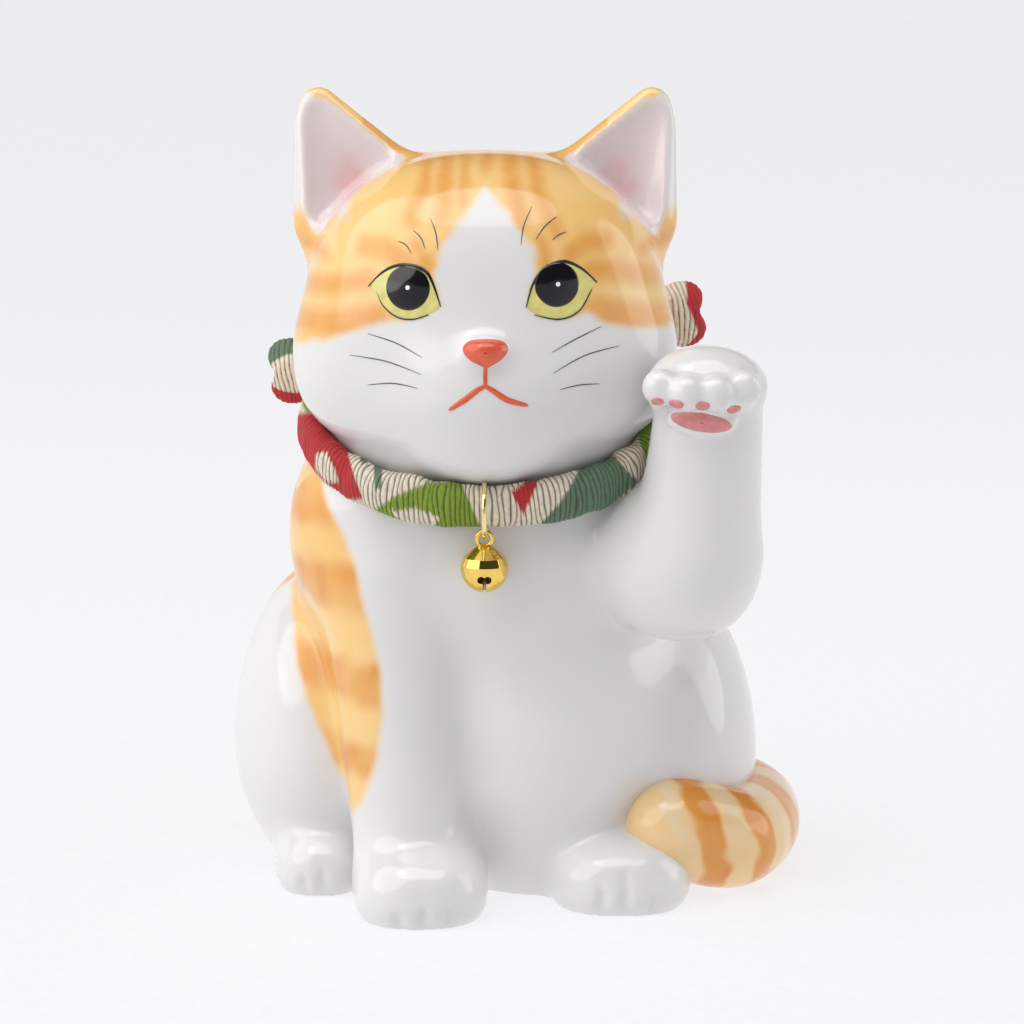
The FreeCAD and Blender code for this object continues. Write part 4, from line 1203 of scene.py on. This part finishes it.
# Polish: fine wiping marks and a few dull spots, on the metal pieces.
polish, polish_in, polish_out = group(
    "wiped_metal",
    [("Base Roughness", "NodeSocketFloat", 0.1)],
    [("Roughness", "NodeSocketFloat"), ("Height", "NodeSocketFloat"), ("Wear", "NodeSocketFloat")],
)
wiped = ramp(polish, noise(polish, 1400, 3.0, (1, 0.2, 1)), 0.3, 0.75, 0.0, 0.07)
wiped = math_node(polish, "ADD", wiped, polish_in.outputs["Base Roughness"])
polish.links.new(wiped, polish_out.inputs["Roughness"])
polish.links.new(noise(polish, 2600, 2.0), polish_out.inputs["Height"])
polish.links.new(ramp(polish, noise(polish, 500, 3.0), 0.45, 0.7, 0, 1), polish_out.inputs["Wear"])


def metal(name, color, worn, roughness):
    material, tree, shader = fresh(name)
    surface = use(tree, polish, Base_Roughness=roughness)
    tree.links.new(mix(tree, surface.outputs["Wear"], color, worn), shader.inputs["Base Color"])
    tree.links.new(surface.outputs["Roughness"], shader.inputs["Roughness"])
    bump(tree, shader, surface.outputs["Height"], 0.00002, 0.3)
    shader.inputs["Metallic"].default_value = 1.0
    return material


gilt = metal("gilt_brass", (0.93, 0.66, 0.16), (0.86, 0.58, 0.12), 0.07)
pale_gilt = metal("pale_gilt_wire", (0.93, 0.76, 0.40), (0.88, 0.68, 0.32), 0.10)
steel = metal("steel", (0.46, 0.46, 0.47), (0.36, 0.35, 0.35), 0.30)

castings = ((body_glaze, ("body_casting", "raised_foreleg_casting")), (head_glaze, ("head_casting",)),
            (tail_glaze, ("tail_casting",)))
for piece, nodes in castings:
    piece.data.materials.append(porcelain)
    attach(piece, "cat")
    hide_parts(*nodes)
for name, piece in enamels.items():
    piece.data.materials.append(enamel_looks[name])
    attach(piece, "cat")
for piece, nodes in cloth_pieces.values():
    piece.data.materials.clear()
    piece.data.materials.append(crepe)
    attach(piece, "cat")
    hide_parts(*nodes)
for name, look in (("bell_ring", pale_gilt), ("bell_eye", gilt), ("bell_upper_shell", gilt),
                   ("bell_lower_shell", gilt), ("bell_pellet", steel)):
    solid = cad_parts[name]
    solid.data.materials.clear()
    solid.data.materials.append(look)


# ---------------------------------------------------------------- stage, light and camera
def area_light(name, place, target, size, power, color=(1, 1, 1)):
    light = bpy.data.lights.new(name, "AREA")
    light.shape = "ELLIPSE"
    light.size, light.size_y = size
    light.energy = power
    light.color = color
    lamp = bpy.data.objects.new(name, light)
    bpy.context.scene.collection.objects.link(lamp)
    lamp.location = place
    lamp.rotation_euler = (Vector(target) - Vector(place)).to_track_quat("-Z", "Y").to_euler()
    return lamp


def sweep_backdrop():
    """A round floor that curves up into a wall, with no line where it turns."""
    profile = [(0.02, 0.0), (0.6, 0.0), (1.6, 0.0)]
    for step in range(1, 17):
        angle = math.radians(90 * step / 16)
        profile.append((1.6 + 0.9 * math.sin(angle), 0.9 * (1 - math.cos(angle))))
    profile.append((2.5, 1.0))
    steps = 96
    turns = [2 * math.pi * step / steps for step in range(steps)]
    points = [(r * math.cos(turn), r * math.sin(turn), z) for r, z in profile for turn in turns]
    faces = [tuple(range(steps))]
    for ring in range(len(profile) - 1):
        for step in range(steps):
            a, b = ring * steps + step, ring * steps + (step + 1) % steps
            faces.append((a, b, b + steps, a + steps))
    mesh = bpy.data.meshes.new("backdrop")
    mesh.from_pydata(points, [], faces)
    mesh.polygons.foreach_set("use_smooth", [True] * len(faces))
    backdrop = bpy.data.objects.new("backdrop", mesh)
    bpy.context.scene.collection.objects.link(backdrop)
    return backdrop


backdrop = sweep_backdrop()
paper, tree, shader = fresh("backdrop_paper")
fibres = ramp(tree, noise(tree, 300, 3.0), 0.35, 0.65, 0, 1)
grain = mix(tree, fibres, (0.14, 0.14, 0.14), (0.16, 0.16, 0.16))
tree.links.new(grain, shader.inputs["Base Color"])
shader.inputs["Roughness"].default_value = 0.9
spot = node(tree, "ShaderNodeTexCoord")
parts = node(tree, "ShaderNodeSeparateXYZ")
tree.links.new(spot.outputs["Object"], parts.inputs["Vector"])
# The paper glows though it is no lamp: painted light, brightest towards the rear and dimmer towards the
# front.
rear = ramp(tree, parts.outputs["Y"], -2.4, -0.5, 0.0, 1.0)
lit = mix(tree, rear, (0.42, 0.42, 0.435), (0.93, 0.93, 0.953))
tree.links.new(lit, shader.inputs["Emission Color"])
shader.inputs["Emission Strength"].default_value = 0.82
backdrop.data.materials.append(paper)

world = bpy.data.worlds.new("studio")
world.use_nodes = True
world.node_tree.nodes["Background"].inputs["Color"].default_value = (0.95, 0.95, 1.0, 1)
world.node_tree.nodes["Background"].inputs["Strength"].default_value = 0.06
bpy.context.scene.world = world
area_light("key", (-1.0, -0.40, 1.05), (0, 0, 0.1), (1.9, 1.9), 17)
area_light("side", (0.95, 0.1, 0.45), (0, 0, 0.1), (0.6, 0.9), 2.2)
area_light("top", (0.0, -0.35, 1.4), (0, 0, 0.1), (1.3, 1.0), 9.0)

bpy.context.scene.view_settings.view_transform = "Standard"

CAMERA_AIM = Vector((0.0066, 0, 0.0932))
CAMERA_HEIGHT = math.radians(10)
camera_data = bpy.data.cameras.new("camera")
camera_data.sensor_width = 36
camera_data.lens = 125.2
camera_data.clip_start = 0.01
camera = bpy.data.objects.new("camera", camera_data)
bpy.context.scene.collection.objects.link(camera)
camera.location = CAMERA_AIM + 0.9 * Vector((0, -math.cos(CAMERA_HEIGHT), math.sin(CAMERA_HEIGHT)))
camera.rotation_euler = (math.radians(90) - CAMERA_HEIGHT, 0, 0)
bpy.context.scene.camera = camera
